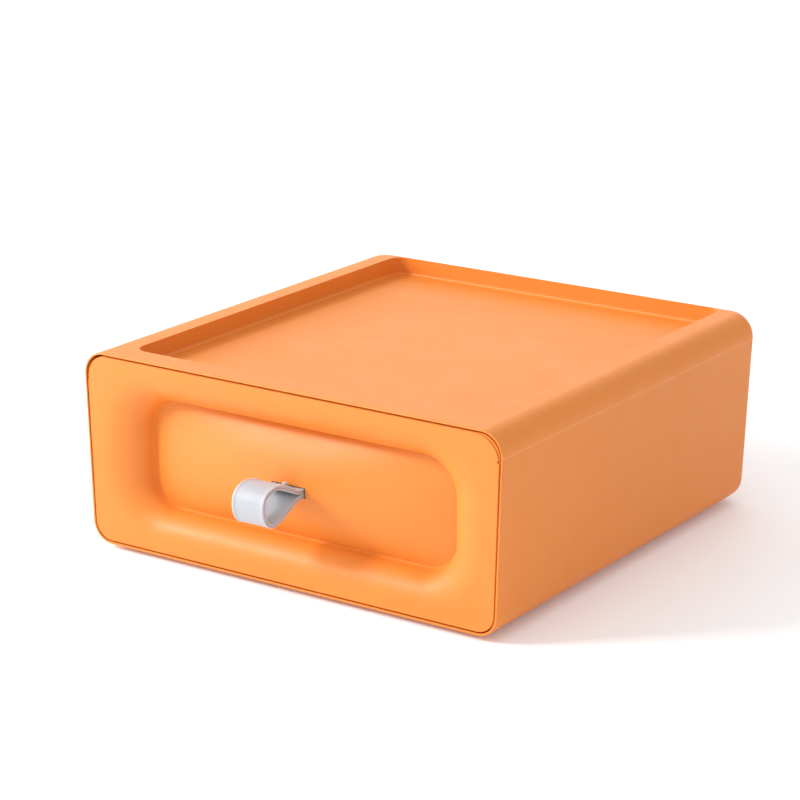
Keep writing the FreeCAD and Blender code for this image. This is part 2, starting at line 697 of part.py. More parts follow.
def loop_outline(sketch, radius, neck):
    """Round loop that hangs before the slot, with two straight runs back to the neck"""
    loop_depth, loop_height = "front_plane - strap_reach + loop_radius", "slot_middle - loop_drop"
    neck_depth, neck_top = "front_plane + slot_depth", f"slot_middle + ({neck}) / 2"
    centre = FreeCAD.Vector(number(loop_depth), number(loop_height))
    size, half = number(radius), number(neck) / 2
    y = number(neck_depth)
    upper = FreeCAD.Vector(y, number(neck_top))
    lower = upper - FreeCAD.Vector(0, 2 * half)
    touches = []
    for point, turn in ((upper, 1), (lower, -1)):
        away = point - centre
        angle = math.atan2(away.y, away.x) + turn * math.acos(size / away.Length)
        touches.append(centre + FreeCAD.Vector(math.cos(angle), math.sin(angle)) * size)
    circle = Part.Circle(centre, FreeCAD.Vector(0, 0, 1), size)
    run_up = sketch.addGeometry(Part.LineSegment(upper, touches[0]))
    sweep = (circle.parameter(touch) for touch in touches)
    arc = sketch.addGeometry(Part.ArcOfCircle(circle, *sweep))
    run_down = sketch.addGeometry(Part.LineSegment(touches[1], lower))
    sketch.addConstraint([
        Sketcher.Constraint("Tangent", run_up, 2, arc, 1),
        Sketcher.Constraint("Tangent", arc, 2, run_down, 1),
    ])
    sizes = [
        ("loop_depth", Sketcher.Constraint("DistanceX", -1, 1, arc, 3, centre.x), loop_depth),
        ("loop_height", Sketcher.Constraint("DistanceY", -1, 1, arc, 3, centre.y), loop_height),
        ("radius", Sketcher.Constraint("Radius", arc, size), radius),
        ("neck_depth", Sketcher.Constraint("DistanceX", -1, 1, run_up, 1, y), neck_depth),
        ("neck_top", Sketcher.Constraint("DistanceY", -1, 1, run_up, 1, upper.y), neck_top),
    ]
    if half > 0:
        neck_line = sketch.addGeometry(Part.LineSegment(lower, upper))
        sketch.addConstraint([
            Sketcher.Constraint("Coincident", run_down, 2, neck_line, 1),
            Sketcher.Constraint("Coincident", neck_line, 2, run_up, 1),
            Sketcher.Constraint("Vertical", neck_line),
        ])
        sizes.append(("neck", Sketcher.Constraint("DistanceY", neck_line, 1, neck_line, 2, 2 * half), neck))
    else:
        sketch.addConstraint(Sketcher.Constraint("Coincident", run_down, 2, run_up, 1))
    name_sizes(sketch, sizes)
    return sketch


def make_pull_strap():
    """Soft loop: two layers through the slot, opened round a finger in front and round the pin behind"""
    body = start_body("pull_strap")
    eye = ("front_plane + eye_depth", "slot_middle")
    front_loop = loop_outline(side_sketch(body, "loop_outline"), "loop_radius", "2 * strap_thickness")
    across(add_feature(body, "Pad", "loop", front_loop, "strap_width", True))
    neck = rectangle(
        side_sketch(body, "neck_outline"), "front_plane + slot_depth", eye[0],
        "slot_middle - strap_thickness", "slot_middle + strap_thickness",
    )
    across(add_feature(body, "Pad", "neck", neck, "strap_width", True))
    ring = circle_at(side_sketch(body, "ring_outline"), *eye, "eye_radius + strap_thickness")
    across(add_feature(body, "Pad", "ring", ring, "strap_width", True))
    finger = loop_outline(side_sketch(body, "finger_outline"), "loop_radius - strap_thickness", "0")
    across(add_feature(body, "Pocket", "finger", finger, "strap_width + overrun", True))
    hole = circle_at(side_sketch(body, "eye_outline"), *eye, "eye_radius")
    across(add_feature(body, "Pocket", "eye", hole, "strap_width + overrun", True))
    pip = circle_at(
        plan_sketch(body, "pip_outline", "slot_middle + strap_thickness / 2"), "0",
        "front_plane + slot_depth - pip_setback", "pip_radius",
    )
    add_feature(body, "Pad", "pip", pip, "strap_thickness + pip_height", True)
    return body


def make_strap_pin():
    """Bar behind the front that holds the strap's rear loop"""
    pin = document.addObject("Part::Cylinder", "strap_pin")
    pin.Label = "strap_pin"
    bind(pin, "Radius", "pin_radius")
    bind(pin, "Height", "pin_length")
    pin.Placement = FreeCAD.Placement(FreeCAD.Vector(), FreeCAD.Rotation(FreeCAD.Vector(0, 1, 0), 90))
    bind(pin, ".Placement.Base.x", "-pin_length / 2")
    bind(pin, ".Placement.Base.y", "front_plane + eye_depth")
    bind(pin, ".Placement.Base.z", "slot_middle")
    return pin


# Feet

FOOT_X = "(recess_width / 2 - stacking_clearance - foot_inset)"
FOOT_FRONT = "front_plane + front_land + stacking_clearance + foot_inset"
FOOT_REAR = "front_plane + body_depth - plinth_back_inset - foot_inset"
FOOT_PLACES = {
    "foot_front_left": (f"-{FOOT_X}", FOOT_FRONT),
    "foot_front_right": (FOOT_X, FOOT_FRONT),
    "foot_rear_left": (f"-{FOOT_X}", FOOT_REAR),
    "foot_rear_right": (FOOT_X, FOOT_REAR),
}


def make_foot(name, x, y):
    """Round soft pad set in the plinth"""
    body = start_body(name)
    disc = circle_at(plan_sketch(body, "outline", "0"), x, y, "foot_radius")
    add_feature(body, "Pad", "disc", disc, "foot_thickness", True)
    dress_edges(body, "Chamfer", "bevel", "foot_bevel", lambda edge: lies_at(edge, "Z", 0))
    return body


# How near a measured place must be to a worked out one, as a share of the wall
NEAR_SHARE = 0.02
NEAR = SIZES["wall"] * NEAR_SHARE

pieces = [make_sleeve(), make_drawer_tray(), make_drawer_front(), make_pull_strap(), make_strap_pin()]
pieces += [make_foot(name, *place) for name, place in FOOT_PLACES.items()]
document.recompute()

for item in document.Objects:
    if "Invalid" in item.State or "Error" in item.State:
        raise RuntimeError(f"{item.Label} did not build: {item.State}")
for piece in pieces:
    if piece.Shape.isNull() or not piece.Shape.isValid():
        raise RuntimeError(f"{piece.Label} is not a valid solid")

os.makedirs("parts", exist_ok=True)
for piece in pieces:
    piece.Shape.exportStep(f"parts/{piece.Label}.step")
    box = piece.Shape.BoundBox
    print(f"{piece.Label}: {len(piece.Shape.Solids)} solid, {piece.Shape.Volume:.0f} mm3, {box}")
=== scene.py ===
"""Stackable drawer box: finely modelled and finished pieces over the plain frame."""

import logging
import math
from dataclasses import dataclass
from enum import Enum
from typing import Callable

import bmesh
import bpy
from mathutils import Matrix, Vector

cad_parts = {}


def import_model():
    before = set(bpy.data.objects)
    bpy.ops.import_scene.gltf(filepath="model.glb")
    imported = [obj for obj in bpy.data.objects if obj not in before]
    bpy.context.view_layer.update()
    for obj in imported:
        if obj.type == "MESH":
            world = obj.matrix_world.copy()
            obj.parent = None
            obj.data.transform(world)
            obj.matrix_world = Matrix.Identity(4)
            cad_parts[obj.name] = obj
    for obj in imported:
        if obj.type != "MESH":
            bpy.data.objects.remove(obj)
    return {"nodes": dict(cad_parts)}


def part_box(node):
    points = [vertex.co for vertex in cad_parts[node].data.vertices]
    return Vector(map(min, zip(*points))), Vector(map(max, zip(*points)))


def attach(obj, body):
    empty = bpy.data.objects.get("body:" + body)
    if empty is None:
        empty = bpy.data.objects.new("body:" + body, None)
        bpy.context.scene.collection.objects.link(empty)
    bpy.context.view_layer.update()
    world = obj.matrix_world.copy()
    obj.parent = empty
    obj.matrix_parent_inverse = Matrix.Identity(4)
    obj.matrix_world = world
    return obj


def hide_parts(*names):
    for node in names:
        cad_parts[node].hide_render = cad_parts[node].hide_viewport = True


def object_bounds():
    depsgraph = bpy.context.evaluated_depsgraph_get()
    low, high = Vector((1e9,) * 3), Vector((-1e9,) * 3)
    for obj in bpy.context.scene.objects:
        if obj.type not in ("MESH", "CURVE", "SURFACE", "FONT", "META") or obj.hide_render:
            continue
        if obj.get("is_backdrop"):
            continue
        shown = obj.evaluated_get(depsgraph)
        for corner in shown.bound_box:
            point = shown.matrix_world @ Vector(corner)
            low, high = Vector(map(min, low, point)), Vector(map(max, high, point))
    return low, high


log = logging.getLogger("drawer_box")
MM = 0.001
UPRIGHT = math.pi / 2
TOUCH = 0.01 * MM
MERGE = 0.004 * MM
SHADE_WEIGHT = 80

Place = tuple[float, float, float]
Range = tuple[float, float]
Test = Callable[[Vector], bool]
Piece = bpy.types.Object
Node = bpy.types.Node


class Corner(Enum):
    """One corner of an outline seen from the front: its side and its level."""

    UPPER_RIGHT = (1, 1)
    UPPER_LEFT = (-1, 1)
    LOWER_LEFT = (-1, -1)
    LOWER_RIGHT = (1, -1)


class Join(Enum):
    """How one solid is put together with another."""

    ADD = "UNION"
    CUT = "DIFFERENCE"


class Body(Enum):
    """The frame's moving bodies."""

    HOUSING = "housing"
    DRAWER = "drawer"


# Modelling steps that several pieces share


def near(a: float, b: float) -> bool:
    """Whether two places on an axis touch."""
    return abs(a - b) < TOUCH


def slope(degrees: float) -> float:
    """How far a wall leans for its height."""
    return math.tan(math.radians(degrees))


def bearing(azimuth: float, elevation: float) -> Vector:
    """A direction from its bearing, 0 in front and 90 on the right, and its height, in degrees.

    Args:
        azimuth: The bearing.
        elevation: The height over the ground.

    Returns:
        The direction, one unit long.
    """
    a, e = math.radians(azimuth), math.radians(elevation)
    return Vector((math.sin(a) * math.cos(e), -math.cos(a) * math.cos(e), math.sin(e)))


def pick(piece: Piece) -> None:
    """Makes a piece the only one selected, and the active one.

    Args:
        piece: The piece.
    """
    bpy.ops.object.select_all(action="DESELECT")
    piece.select_set(True)
    bpy.context.view_layer.objects.active = piece


def edit(piece: Piece) -> None:
    """Opens a piece for editing with nothing in it selected.

    Args:
        piece: The piece.
    """
    pick(piece)
    bpy.ops.object.mode_set(mode="EDIT")
    bpy.ops.mesh.select_all(action="DESELECT")


def leave_edit() -> None:
    """Closes the piece that is open for editing."""
    bpy.ops.object.mode_set(mode="OBJECT")


def select_points(piece: Piece, belongs: Test) -> None:
    """Selects the points of an open piece by their place, with the edges and faces between them.

    Args:
        piece: The piece that is open for editing.
        belongs: Whether a point at this place is taken.
    """
    bpy.ops.mesh.select_mode(type="VERT")
    bpy.ops.mesh.select_all(action="DESELECT")
    mesh = bmesh.from_edit_mesh(piece.data)
    for point in mesh.verts:
        if belongs(point.co):
            point.select_set(True)
    mesh.select_flush(True)
    bmesh.update_edit_mesh(piece.data)


def settle(name: str) -> Piece:
    """Names the piece just added and moves its place and size into its mesh.

    Args:
        name: The piece's name.

    Returns:
        The piece.
    """
    piece = bpy.context.object
    piece.name = name
    bpy.ops.object.transform_apply(location=True, rotation=True, scale=True)
    return piece


def add_block(name: str, low: Place, high: Place) -> Piece:
    """Adds a block between two corners.

    Args:
        name: The block's name.
        low: Its lowest corner.
        high: Its highest corner.

    Returns:
        The block.
    """
    middle = [(a + b) / 2 for a, b in zip(low, high)]
    bpy.ops.object.select_all(action="DESELECT")
    bpy.ops.mesh.primitive_cube_add(size=1, location=middle)
    bpy.context.object.scale = [b - a for a, b in zip(low, high)]
    return settle(name)


def add_cylinder(
    name: str, radius: float, height: float, middle: Place, sides: int, turn: Place = (0, 0, 0),
) -> Piece:
    """Adds a cylinder.

    Args:
        name: The cylinder's name.
        radius: Its radius.
        height: Its height.
        middle: Where its middle lies.
        sides: How many sides it has.
        turn: How it is turned about each axis.

    Returns:
        The cylinder.
    """
    bpy.ops.object.select_all(action="DESELECT")
    bpy.ops.mesh.primitive_cylinder_add(
        vertices=sides, radius=radius, depth=height, location=middle, rotation=turn,
    )
    return settle(name)


def round_edges(piece: Piece, radius: float, segments: int, at: Test | None = None) -> None:
    """Rounds the edges of a piece whose two ends belong, or else all its upright edges.

    Args:
        piece: The piece to round.
        radius: The rounding's radius.
        segments: How many facets the rounding has.
        at: Whether an end at this place belongs.
    """
    edit(piece)
    bpy.ops.mesh.select_mode(type="EDGE")
    bpy.ops.mesh.select_all(action="DESELECT")
    mesh = bmesh.from_edit_mesh(piece.data)
    for edge in mesh.edges:
        a, b = (end.co for end in edge.verts)
        if (at(a) and at(b)) if at else not near(a.z, b.z):
            edge.select_set(True)
    bmesh.update_edit_mesh(piece.data)
    bpy.ops.mesh.bevel(
        offset=radius, offset_type="OFFSET", segments=segments, affect="EDGES", clamp_overlap=True,
    )
    leave_edit()


def rounded_block(
    name: str, low: Place, high: Place, radius: float, base_radius: float = 0.0,
) -> Piece:
    """Adds a block with rounded upright edges and, if asked, a rounded base.

    Args:
        name: The block's name.
        low: Its lowest corner.
        high: Its highest corner.
        radius: The radius of its four upright edges.
        base_radius: The radius round its base, or 0 for a sharp one.

    Returns:
        The block.
    """
    block = add_block(name, low, high)
    round_edges(block, radius, segments=12)
    if base_radius:
        round_edges(block, base_radius, segments=5, at=lambda place: near(place.z, low[2]))
    return block


def apply_step(piece: Piece, kind: str, **settings: object) -> None:
    """Puts a modifier on a piece and applies it.

    Args:
        piece: The piece that it changes.
        kind: The modifier's type.
        settings: Its settings by name.
    """
    pick(piece)
    bpy.ops.object.modifier_add(type=kind)
    step = piece.modifiers[-1]
    for name, value in settings.items():
        setattr(step, name, value)
    bpy.ops.object.modifier_apply(modifier=step.name)


def combine(piece: Piece, join: Join, other: Piece) -> None:
    """Adds a solid to a piece or cuts it out, and removes that solid.

    Args:
        piece: The piece that stays.
        join: Whether the other is added or cut out.
        other: The solid that is used up.
    """
    apply_step(piece, "BOOLEAN", operation=join.value, solver="EXACT", object=other)
    bpy.data.objects.remove(other)


def soften_edges(piece: Piece, width: float, angle: float) -> None:
    """Rounds every edge of a piece that is sharper than an angle.

    Args:
        piece: The piece to soften.
        width: The width of the rounding.
        angle: The angle in degrees past which an edge counts as sharp.
    """
    apply_step(
        piece, "BEVEL", width=width, segments=2, limit_method="ANGLE",
        angle_limit=math.radians(angle), miter_outer="MITER_ARC",
    )


def shade(piece: Piece, angle: float) -> None:
    """Shades a piece smoothly across its roundings and keeps its flat faces flat.

    Args:
        piece: The piece to shade.
        angle: The angle in degrees past which an edge stays sharp.
    """
    pick(piece)
    bpy.ops.object.shade_smooth_by_angle(angle=math.radians(angle))
    apply_step(piece, "WEIGHTED_NORMAL", keep_sharp=True, weight=SHADE_WEIGHT)


def clean(piece: Piece) -> None:
    """Merges points that lie on each other and turns all faces outwards.

    Args:
        piece: The piece to clean.
    """
    edit(piece)
    bpy.ops.mesh.select_all(action="SELECT")
    bpy.ops.mesh.remove_doubles(threshold=MERGE)
    bpy.ops.mesh.normals_make_consistent(inside=False)
    leave_edit()


@dataclass(frozen=True)
class Outline:
    """Rounded outline seen from the front, its upper and lower corners sized apart."""

    upper_half: float
    lower_half: float
    low: float
    high: float
    upper_radius: float
    lower_radius: float

    def radius(self, corner: Corner) -> float:
        """The radius of a corner's arc."""
        return self.upper_radius if corner.value[1] > 0 else self.lower_radius

    def centre(self, corner: Corner) -> Vector:
        """The centre of a corner's arc.

        Args:
            corner: The corner.

        Returns:
            The centre, at depth 0.
        """
        side, level = corner.value
        half = self.upper_half if level > 0 else self.lower_half
        height = self.high - self.upper_radius if level > 0 else self.low + self.lower_radius
        return Vector((side * (half - self.radius(corner)), 0, height))

    def middle(self) -> float:
        """The height of the outline's middle."""
        return (self.low + self.high) / 2

    def inside(self, inset: float) -> "Outline":
        """The outline that lies this far inside."""
        return Outline(
            self.upper_half - inset, self.lower_half - inset, self.low + inset, self.high - inset,
            self.upper_radius - inset, self.lower_radius - inset,
        )


class Sweep:
    """Form drawn through a row of outlines: its end face is extruded, then its corners moved."""

    def __init__(self, name: str, outline: Outline, depth: float, segments: int = 14) -> None:
        """Starts the form with a face.

        Args:
            name: The piece's name.
            outline: The first outline.
            depth: Where the first outline lies along Y.
            segments: How many facets each corner has.
        """
        half, radius = outline.upper_half, outline.upper_radius
        self.outline = Outline(half, half, outline.low, outline.high, radius, radius)
        self.depth = self.start = depth
        bpy.ops.object.select_all(action="DESELECT")
        bpy.ops.mesh.primitive_plane_add(size=1, location=(0, depth, 0), rotation=(UPRIGHT, 0, 0))
        self.piece = settle(name)
        edit(self.piece)
        bpy.ops.mesh.select_all(action="SELECT")
        size = (2 * half, 1, outline.high - outline.low)
        bpy.ops.transform.resize(value=size, center_override=(0, depth, 0))
        bpy.ops.transform.translate(value=(0, 0, outline.middle()))
        bpy.ops.mesh.bevel(
            offset=radius, offset_type="OFFSET", segments=segments, affect="VERTICES",
        )
        bpy.ops.mesh.select_all(action="SELECT")
        self.reshape(outline)

    def take(self, points: list[int]) -> None:
        """Selects some points, with the face between them if they are its whole outline.

        Args:
            points: The points' numbers.
        """
        bpy.ops.mesh.select_all(action="DESELECT")
        mesh = bmesh.from_edit_mesh(self.piece.data)
        mesh.verts.ensure_lookup_table()
        for index in points:
            mesh.verts[index].select_set(True)
        mesh.select_flush(True)
        bmesh.update_edit_mesh(self.piece.data)

    def reshape(self, outline: Outline) -> None:
        """Moves and resizes each corner of the selected end face to a new outline.

        Args:
            outline: The outline that the end face takes.
        """
        bpy.ops.mesh.select_mode(type="VERT")
        mesh = bmesh.from_edit_mesh(self.piece.data)
        ring = {point.index: point.co.copy() for point in mesh.verts if point.select}
        middle = self.outline.middle()
        for corner in Corner:
            side, level = corner.value
            self.take([
                index for index, place in ring.items()
                if side * place.x > 0 and level * (place.z - middle) > 0
            ])
            old, new = self.outline.centre(corner), outline.centre(corner)
            scale = outline.radius(corner) / self.outline.radius(corner)
            bpy.ops.transform.resize(value=(scale, 1, scale), center_override=old)
            bpy.ops.transform.translate(value=new - old)
        self.take(list(ring))
        self.outline = outline

    def draw_to(self, outline: Outline, depth: float) -> "Sweep":
        """Extrudes the end face to a depth and shapes it to an outline.

        Args:
            outline: The outline that the new end face takes.
            depth: Where it lies along Y.

        Returns:
            The form itself, so that steps can follow each other.
        """
        step = {"value": (0, depth - self.depth, 0)}
        bpy.ops.mesh.extrude_region_move(TRANSFORM_OT_translate=step)
        self.reshape(outline)
        self.depth = depth
        return self

    def lean(self, angle: float, height: float) -> None:
        """Leans the end face by degrees about a level line at a height, its foot forwards."""
        bpy.ops.transform.rotate(
            value=math.radians(angle), orient_axis="X", center_override=(0, self.depth, height),
        )

    def finish(self, closed: bool) -> Piece:
        """Ends the form, with its first face closed or open.

        Args:
            closed: Whether the form is a closed solid.

        Returns:
            The piece.
        """
        select_points(self.piece, lambda place: near(place.y, self.start))
        mesh = bmesh.from_edit_mesh(self.piece.data)
        has_face = any(face.select for face in mesh.faces)
        if closed and not has_face:
            bpy.ops.mesh.edge_face_add()
        if not closed and has_face:
            bpy.ops.mesh.delete(type="ONLY_FACE")
        bpy.ops.mesh.select_all(action="SELECT")
        bpy.ops.mesh.normals_make_consistent(inside=False)
        leave_edit()
        return self.piece


# Finishes


class Nodes:
    """Short way to add and link nodes in one material."""

    def __init__(self, name: str) -> None:
        """Makes an empty material with its shader, output and coordinates.

        Args:
            name: The material's name.
        """
        self.material = bpy.data.materials.new(name)
        self.material.use_nodes = True
        self.tree = self.material.node_tree
        self.tree.nodes.clear()
        output = self.add("ShaderNodeOutputMaterial")
        self.shader = self.add("ShaderNodeBsdfPrincipled")
        self.link(self.shader, "BSDF", output, "Surface")
        self.place = self.add("ShaderNodeTexCoord")

    @staticmethod
    def fill(node: Node, **values: object) -> None:
        """Sets a node's inputs and properties.

        Args:
            node: The node.
            values: The values by name, with spaces written as underscores.
        """
        for name, value in values.items():
            label = name.replace("_", " ")
            if label in node.inputs:
                node.inputs[label].default_value = value
            else:
                setattr(node, name, value)

    def add(self, kind: str, **values: object) -> Node:
        """Adds a node.

        Args:
            kind: The node's type.
            values: Its values by name, with spaces written as underscores.

        Returns:
            The node.
        """
        node = self.tree.nodes.new(kind)
        self.fill(node, **values)
        return node

    def link(self, source: Node, out: str | int, target: Node, into: str | int) -> None:
        """Links an output to an input."""
        self.tree.links.new(source.outputs[out], target.inputs[into])

    def noise(self, scale: float, detail: float, roughness: float = 0.5) -> Node:
        """Adds a noise pattern on the piece's own coordinates.

        Args:
            scale: Features per metre.
            detail: How many finer layers it has.
            roughness: How strong the finer layers are.

        Returns:
            The pattern's node.
        """
        node = self.add("ShaderNodeTexNoise", Scale=scale, Detail=detail, Roughness=roughness)
        self.link(self.place, "Object", node, "Vector")
        return node

    def spread(self, source: Node, out: str, span: Range, to: Range = (0.0, 1.0)) -> Node:
        """Maps a range of one output to another range.

        Args:
            source: The node that is read.
            out: Its output's name.
            span: The two values that are mapped to the ends of the new range.
            to: The new range.

        Returns:
            The node that maps it.
        """
        node = self.add(
            "ShaderNodeMapRange", From_Min=span[0], From_Max=span[1], To_Min=to[0], To_Max=to[1],
        )
        self.link(source, out, node, "Value")
        return node

    def gloss(self, noise: Node, span: Range, to: Range) -> None:
        """Lets a noise pattern vary the shader's roughness over a range."""
        self.link(self.spread(noise, "Fac", span, to), "Result", self.shader, "Roughness")

    def bump(
        self, source: Node, out: str, strength: float, height: float, under: Node | None = None,
    ) -> Node:
        """Adds a relief.

        Args:
            source: The node that gives its height.
            out: That node's output.
            strength: How strongly it shows.
            height: How high it stands.
            under: The relief that it lies on.

        Returns:
            The relief's node.
        """
        node = self.add("ShaderNodeBump", Strength=strength, Distance=height)
        self.link(source, out, node, "Height")
        if under:
            self.link(under, "Normal", node, "Normal")
        return node

    def tint(self, share: Node, low: Place | Node, high: Place) -> Node:
        """Mixes two colours and feeds the mix to the shader.

        Args:
            share: The mapped range that is the share of the second colour.
            low: The first colour, or the mix node that makes it.
            high: The second colour.

        Returns:
            The mix node.
        """
        mix = self.add("ShaderNodeMix", data_type="RGBA")
        first, second = (socket for socket in mix.inputs if socket.type == "RGBA")
        second.default_value = (*high, 1)
        if isinstance(low, Node):
            self.tree.links.new(self.colour_of(low), first)
        else:
            first.default_value = (*low, 1)
        self.link(share, "Result", mix, "Factor")
        self.tree.links.new(self.colour_of(mix), self.shader.inputs["Base Color"])
        return mix

    @staticmethod
    def colour_of(mix: Node) -> bpy.types.NodeSocket:
        """The colour output of a mix node."""
        return next(socket for socket in mix.outputs if socket.type == "RGBA")


@dataclass(frozen=True)
class MouldedPlastic:
    """Satin moulding with a fine grain, and slow drifts of tone and gloss from the melt's flow."""

    name: str
    colour: Place
    deep: Place
    roughness: float = 0.5
    refraction: float = 1.5
    grain: float = 2600.0
    grain_depth: float = 0.012 * MM
    wave_depth: float = 0.25 * MM
    glow: float = 0.15
    glow_reach: float = 0.7 * MM
    glow_colour: Place = (1, 0.35, 0.1)
    witness_height: float | None = None
    witness_width: float = 0.4 * MM
    witness_rise: float = 0.08 * MM
    # Share and colour of the highlight painted along the parting ridge
    witness_highlight_share: float = 0.25
    witness_highlight_colour: Place = (0.95, 0.55, 0.26)

    def make(self) -> bpy.types.Material:
        """Makes the material.

        Returns:
            The material.
        """
        nodes = Nodes(self.name)
        drift = nodes.noise(scale=9, detail=3, roughness=0.55)
        tone = nodes.tint(nodes.spread(drift, "Fac", (0.3, 0.7)), self.deep, self.colour)
        scuff = nodes.noise(scale=60, detail=5, roughness=0.65)
        nodes.gloss(scuff, (0.25, 0.75), (self.roughness - 0.05, self.roughness + 0.06))
        line = None if self.witness_height is None else self._witness(nodes, tone)
        wave = nodes.noise(scale=14, detail=1, roughness=0.4)
        slow = nodes.bump(wave, "Fac", strength=0.25, height=self.wave_depth, under=line)
        grain = nodes.noise(scale=self.grain, detail=2, roughness=0.6)
        fine = nodes.bump(grain, "Fac", strength=0.55, height=self.grain_depth, under=slow)
        nodes.link(fine, "Normal", nodes.shader, "Normal")
        nodes.fill(
            nodes.shader, IOR=self.refraction, Subsurface_Weight=self.glow,
            Subsurface_Scale=self.glow_reach, Subsurface_Radius=self.glow_colour,
        )
        return nodes.material

    def _witness(self, nodes: Nodes, tone: Node) -> Node:
        """Adds the thin raised line that the mould's parting leaves, with a paler colour painted
        along it as the ridge's highlight.

        Args:
            nodes: The material's nodes.
            tone: The mix node that makes the plastic's colour.

        Returns:
            The line's relief.
        """
        parts = nodes.add("ShaderNodeSeparateXYZ")
        nodes.link(nodes.place, "Object", parts, "Vector")
        offset = nodes.add("ShaderNodeMath", operation="SUBTRACT")
        nodes.link(parts, "Z", offset, 0)
        offset.inputs[1].default_value = self.witness_height
        away = nodes.add("ShaderNodeMath", operation="ABSOLUTE")
        nodes.link(offset, "Value", away, 0)
        width = (0.0, self.witness_width)
        # Paler colour painted along the ridge as its highlight, strongest on the line's middle
        share = nodes.spread(away, "Value", width, (self.witness_highlight_share, 0.0))
        nodes.tint(share, tone, self.witness_highlight_colour)
        ridge = nodes.spread(away, "Value", width, (1.0, 0.0))
        return nodes.bump(ridge, "Result", strength=0.7, height=self.witness_rise)


@dataclass(frozen=True)
class SoftElastomer:
    """Soft matt rubber with a faint bloom and a fine skin."""

    name: str
    colour: Place
    shade: Place
    roughness: float = 0.55
    skin: float = 3800.0
    skin_depth: float = 0.01 * MM
    glow: float = 0.45
    glow_reach: float = 2 * MM
    glow_colour: Place = (1, 0.85, 0.8)
    bloom: float = 0.15

    def make(self) -> bpy.types.Material:
        """Makes the material.

        Returns:
            The material.
        """
        nodes = Nodes(self.name)
        drift = nodes.noise(scale=120, detail=4, roughness=0.6)
        nodes.tint(nodes.spread(drift, "Fac", (0.3, 0.7)), self.shade, self.colour)
        haze = nodes.noise(scale=400, detail=3, roughness=0.6)
        nodes.gloss(haze, (0.3, 0.7), (self.roughness - 0.06, self.roughness + 0.08))
        pores = nodes.noise(scale=self.skin, detail=2)
        skin = nodes.bump(pores, "Fac", strength=0.5, height=self.skin_depth)
        nodes.link(skin, "Normal", nodes.shader, "Normal")
        nodes.fill(
            nodes.shader, Subsurface_Weight=self.glow, Subsurface_Scale=self.glow_reach,
            Subsurface_Radius=self.glow_colour, Sheen_Weight=self.bloom, Sheen_Roughness=0.5,
        )
        return nodes.material


@dataclass(frozen=True)
class DrawnSteel:
    """Drawn steel bar with fine lines along its length."""

    name: str
    colour: Place
    roughness: float = 0.32
    stretch: Place = (0.02, 1, 1)
    line_scale: float = 6000.0
    line_depth: float = 0.01 * MM

    def make(self) -> bpy.types.Material:
        """Makes the material.

        Returns:
            The material.
        """
        nodes = Nodes(self.name)
        stretch = nodes.add("ShaderNodeMapping", Scale=self.stretch)
        nodes.link(nodes.place, "Object", stretch, "Vector")
        lines = nodes.add("ShaderNodeTexNoise", Scale=self.line_scale, Detail=3.0)
        nodes.link(stretch, "Vector", lines, "Vector")
        nodes.gloss(lines, (0.3, 0.7), (self.roughness - 0.08, self.roughness + 0.1))
        relief = nodes.bump(lines, "Fac", strength=0.4, height=self.line_depth)
        nodes.link(relief, "Normal", nodes.shader, "Normal")
        nodes.fill(nodes.shader, Base_Color=(*self.colour, 1), Metallic=1.0)
        return nodes.material


def dress(piece: Piece, material: bpy.types.Material) -> None:
    """Gives every slot of a piece one finish.

    Args:
        piece: The piece to dress.
        material: Its finish.
    """
    if not piece.data.materials:
        piece.data.materials.append(material)
    for i in range(len(piece.data.materials)):
        piece.data.materials[i] = material


# The box


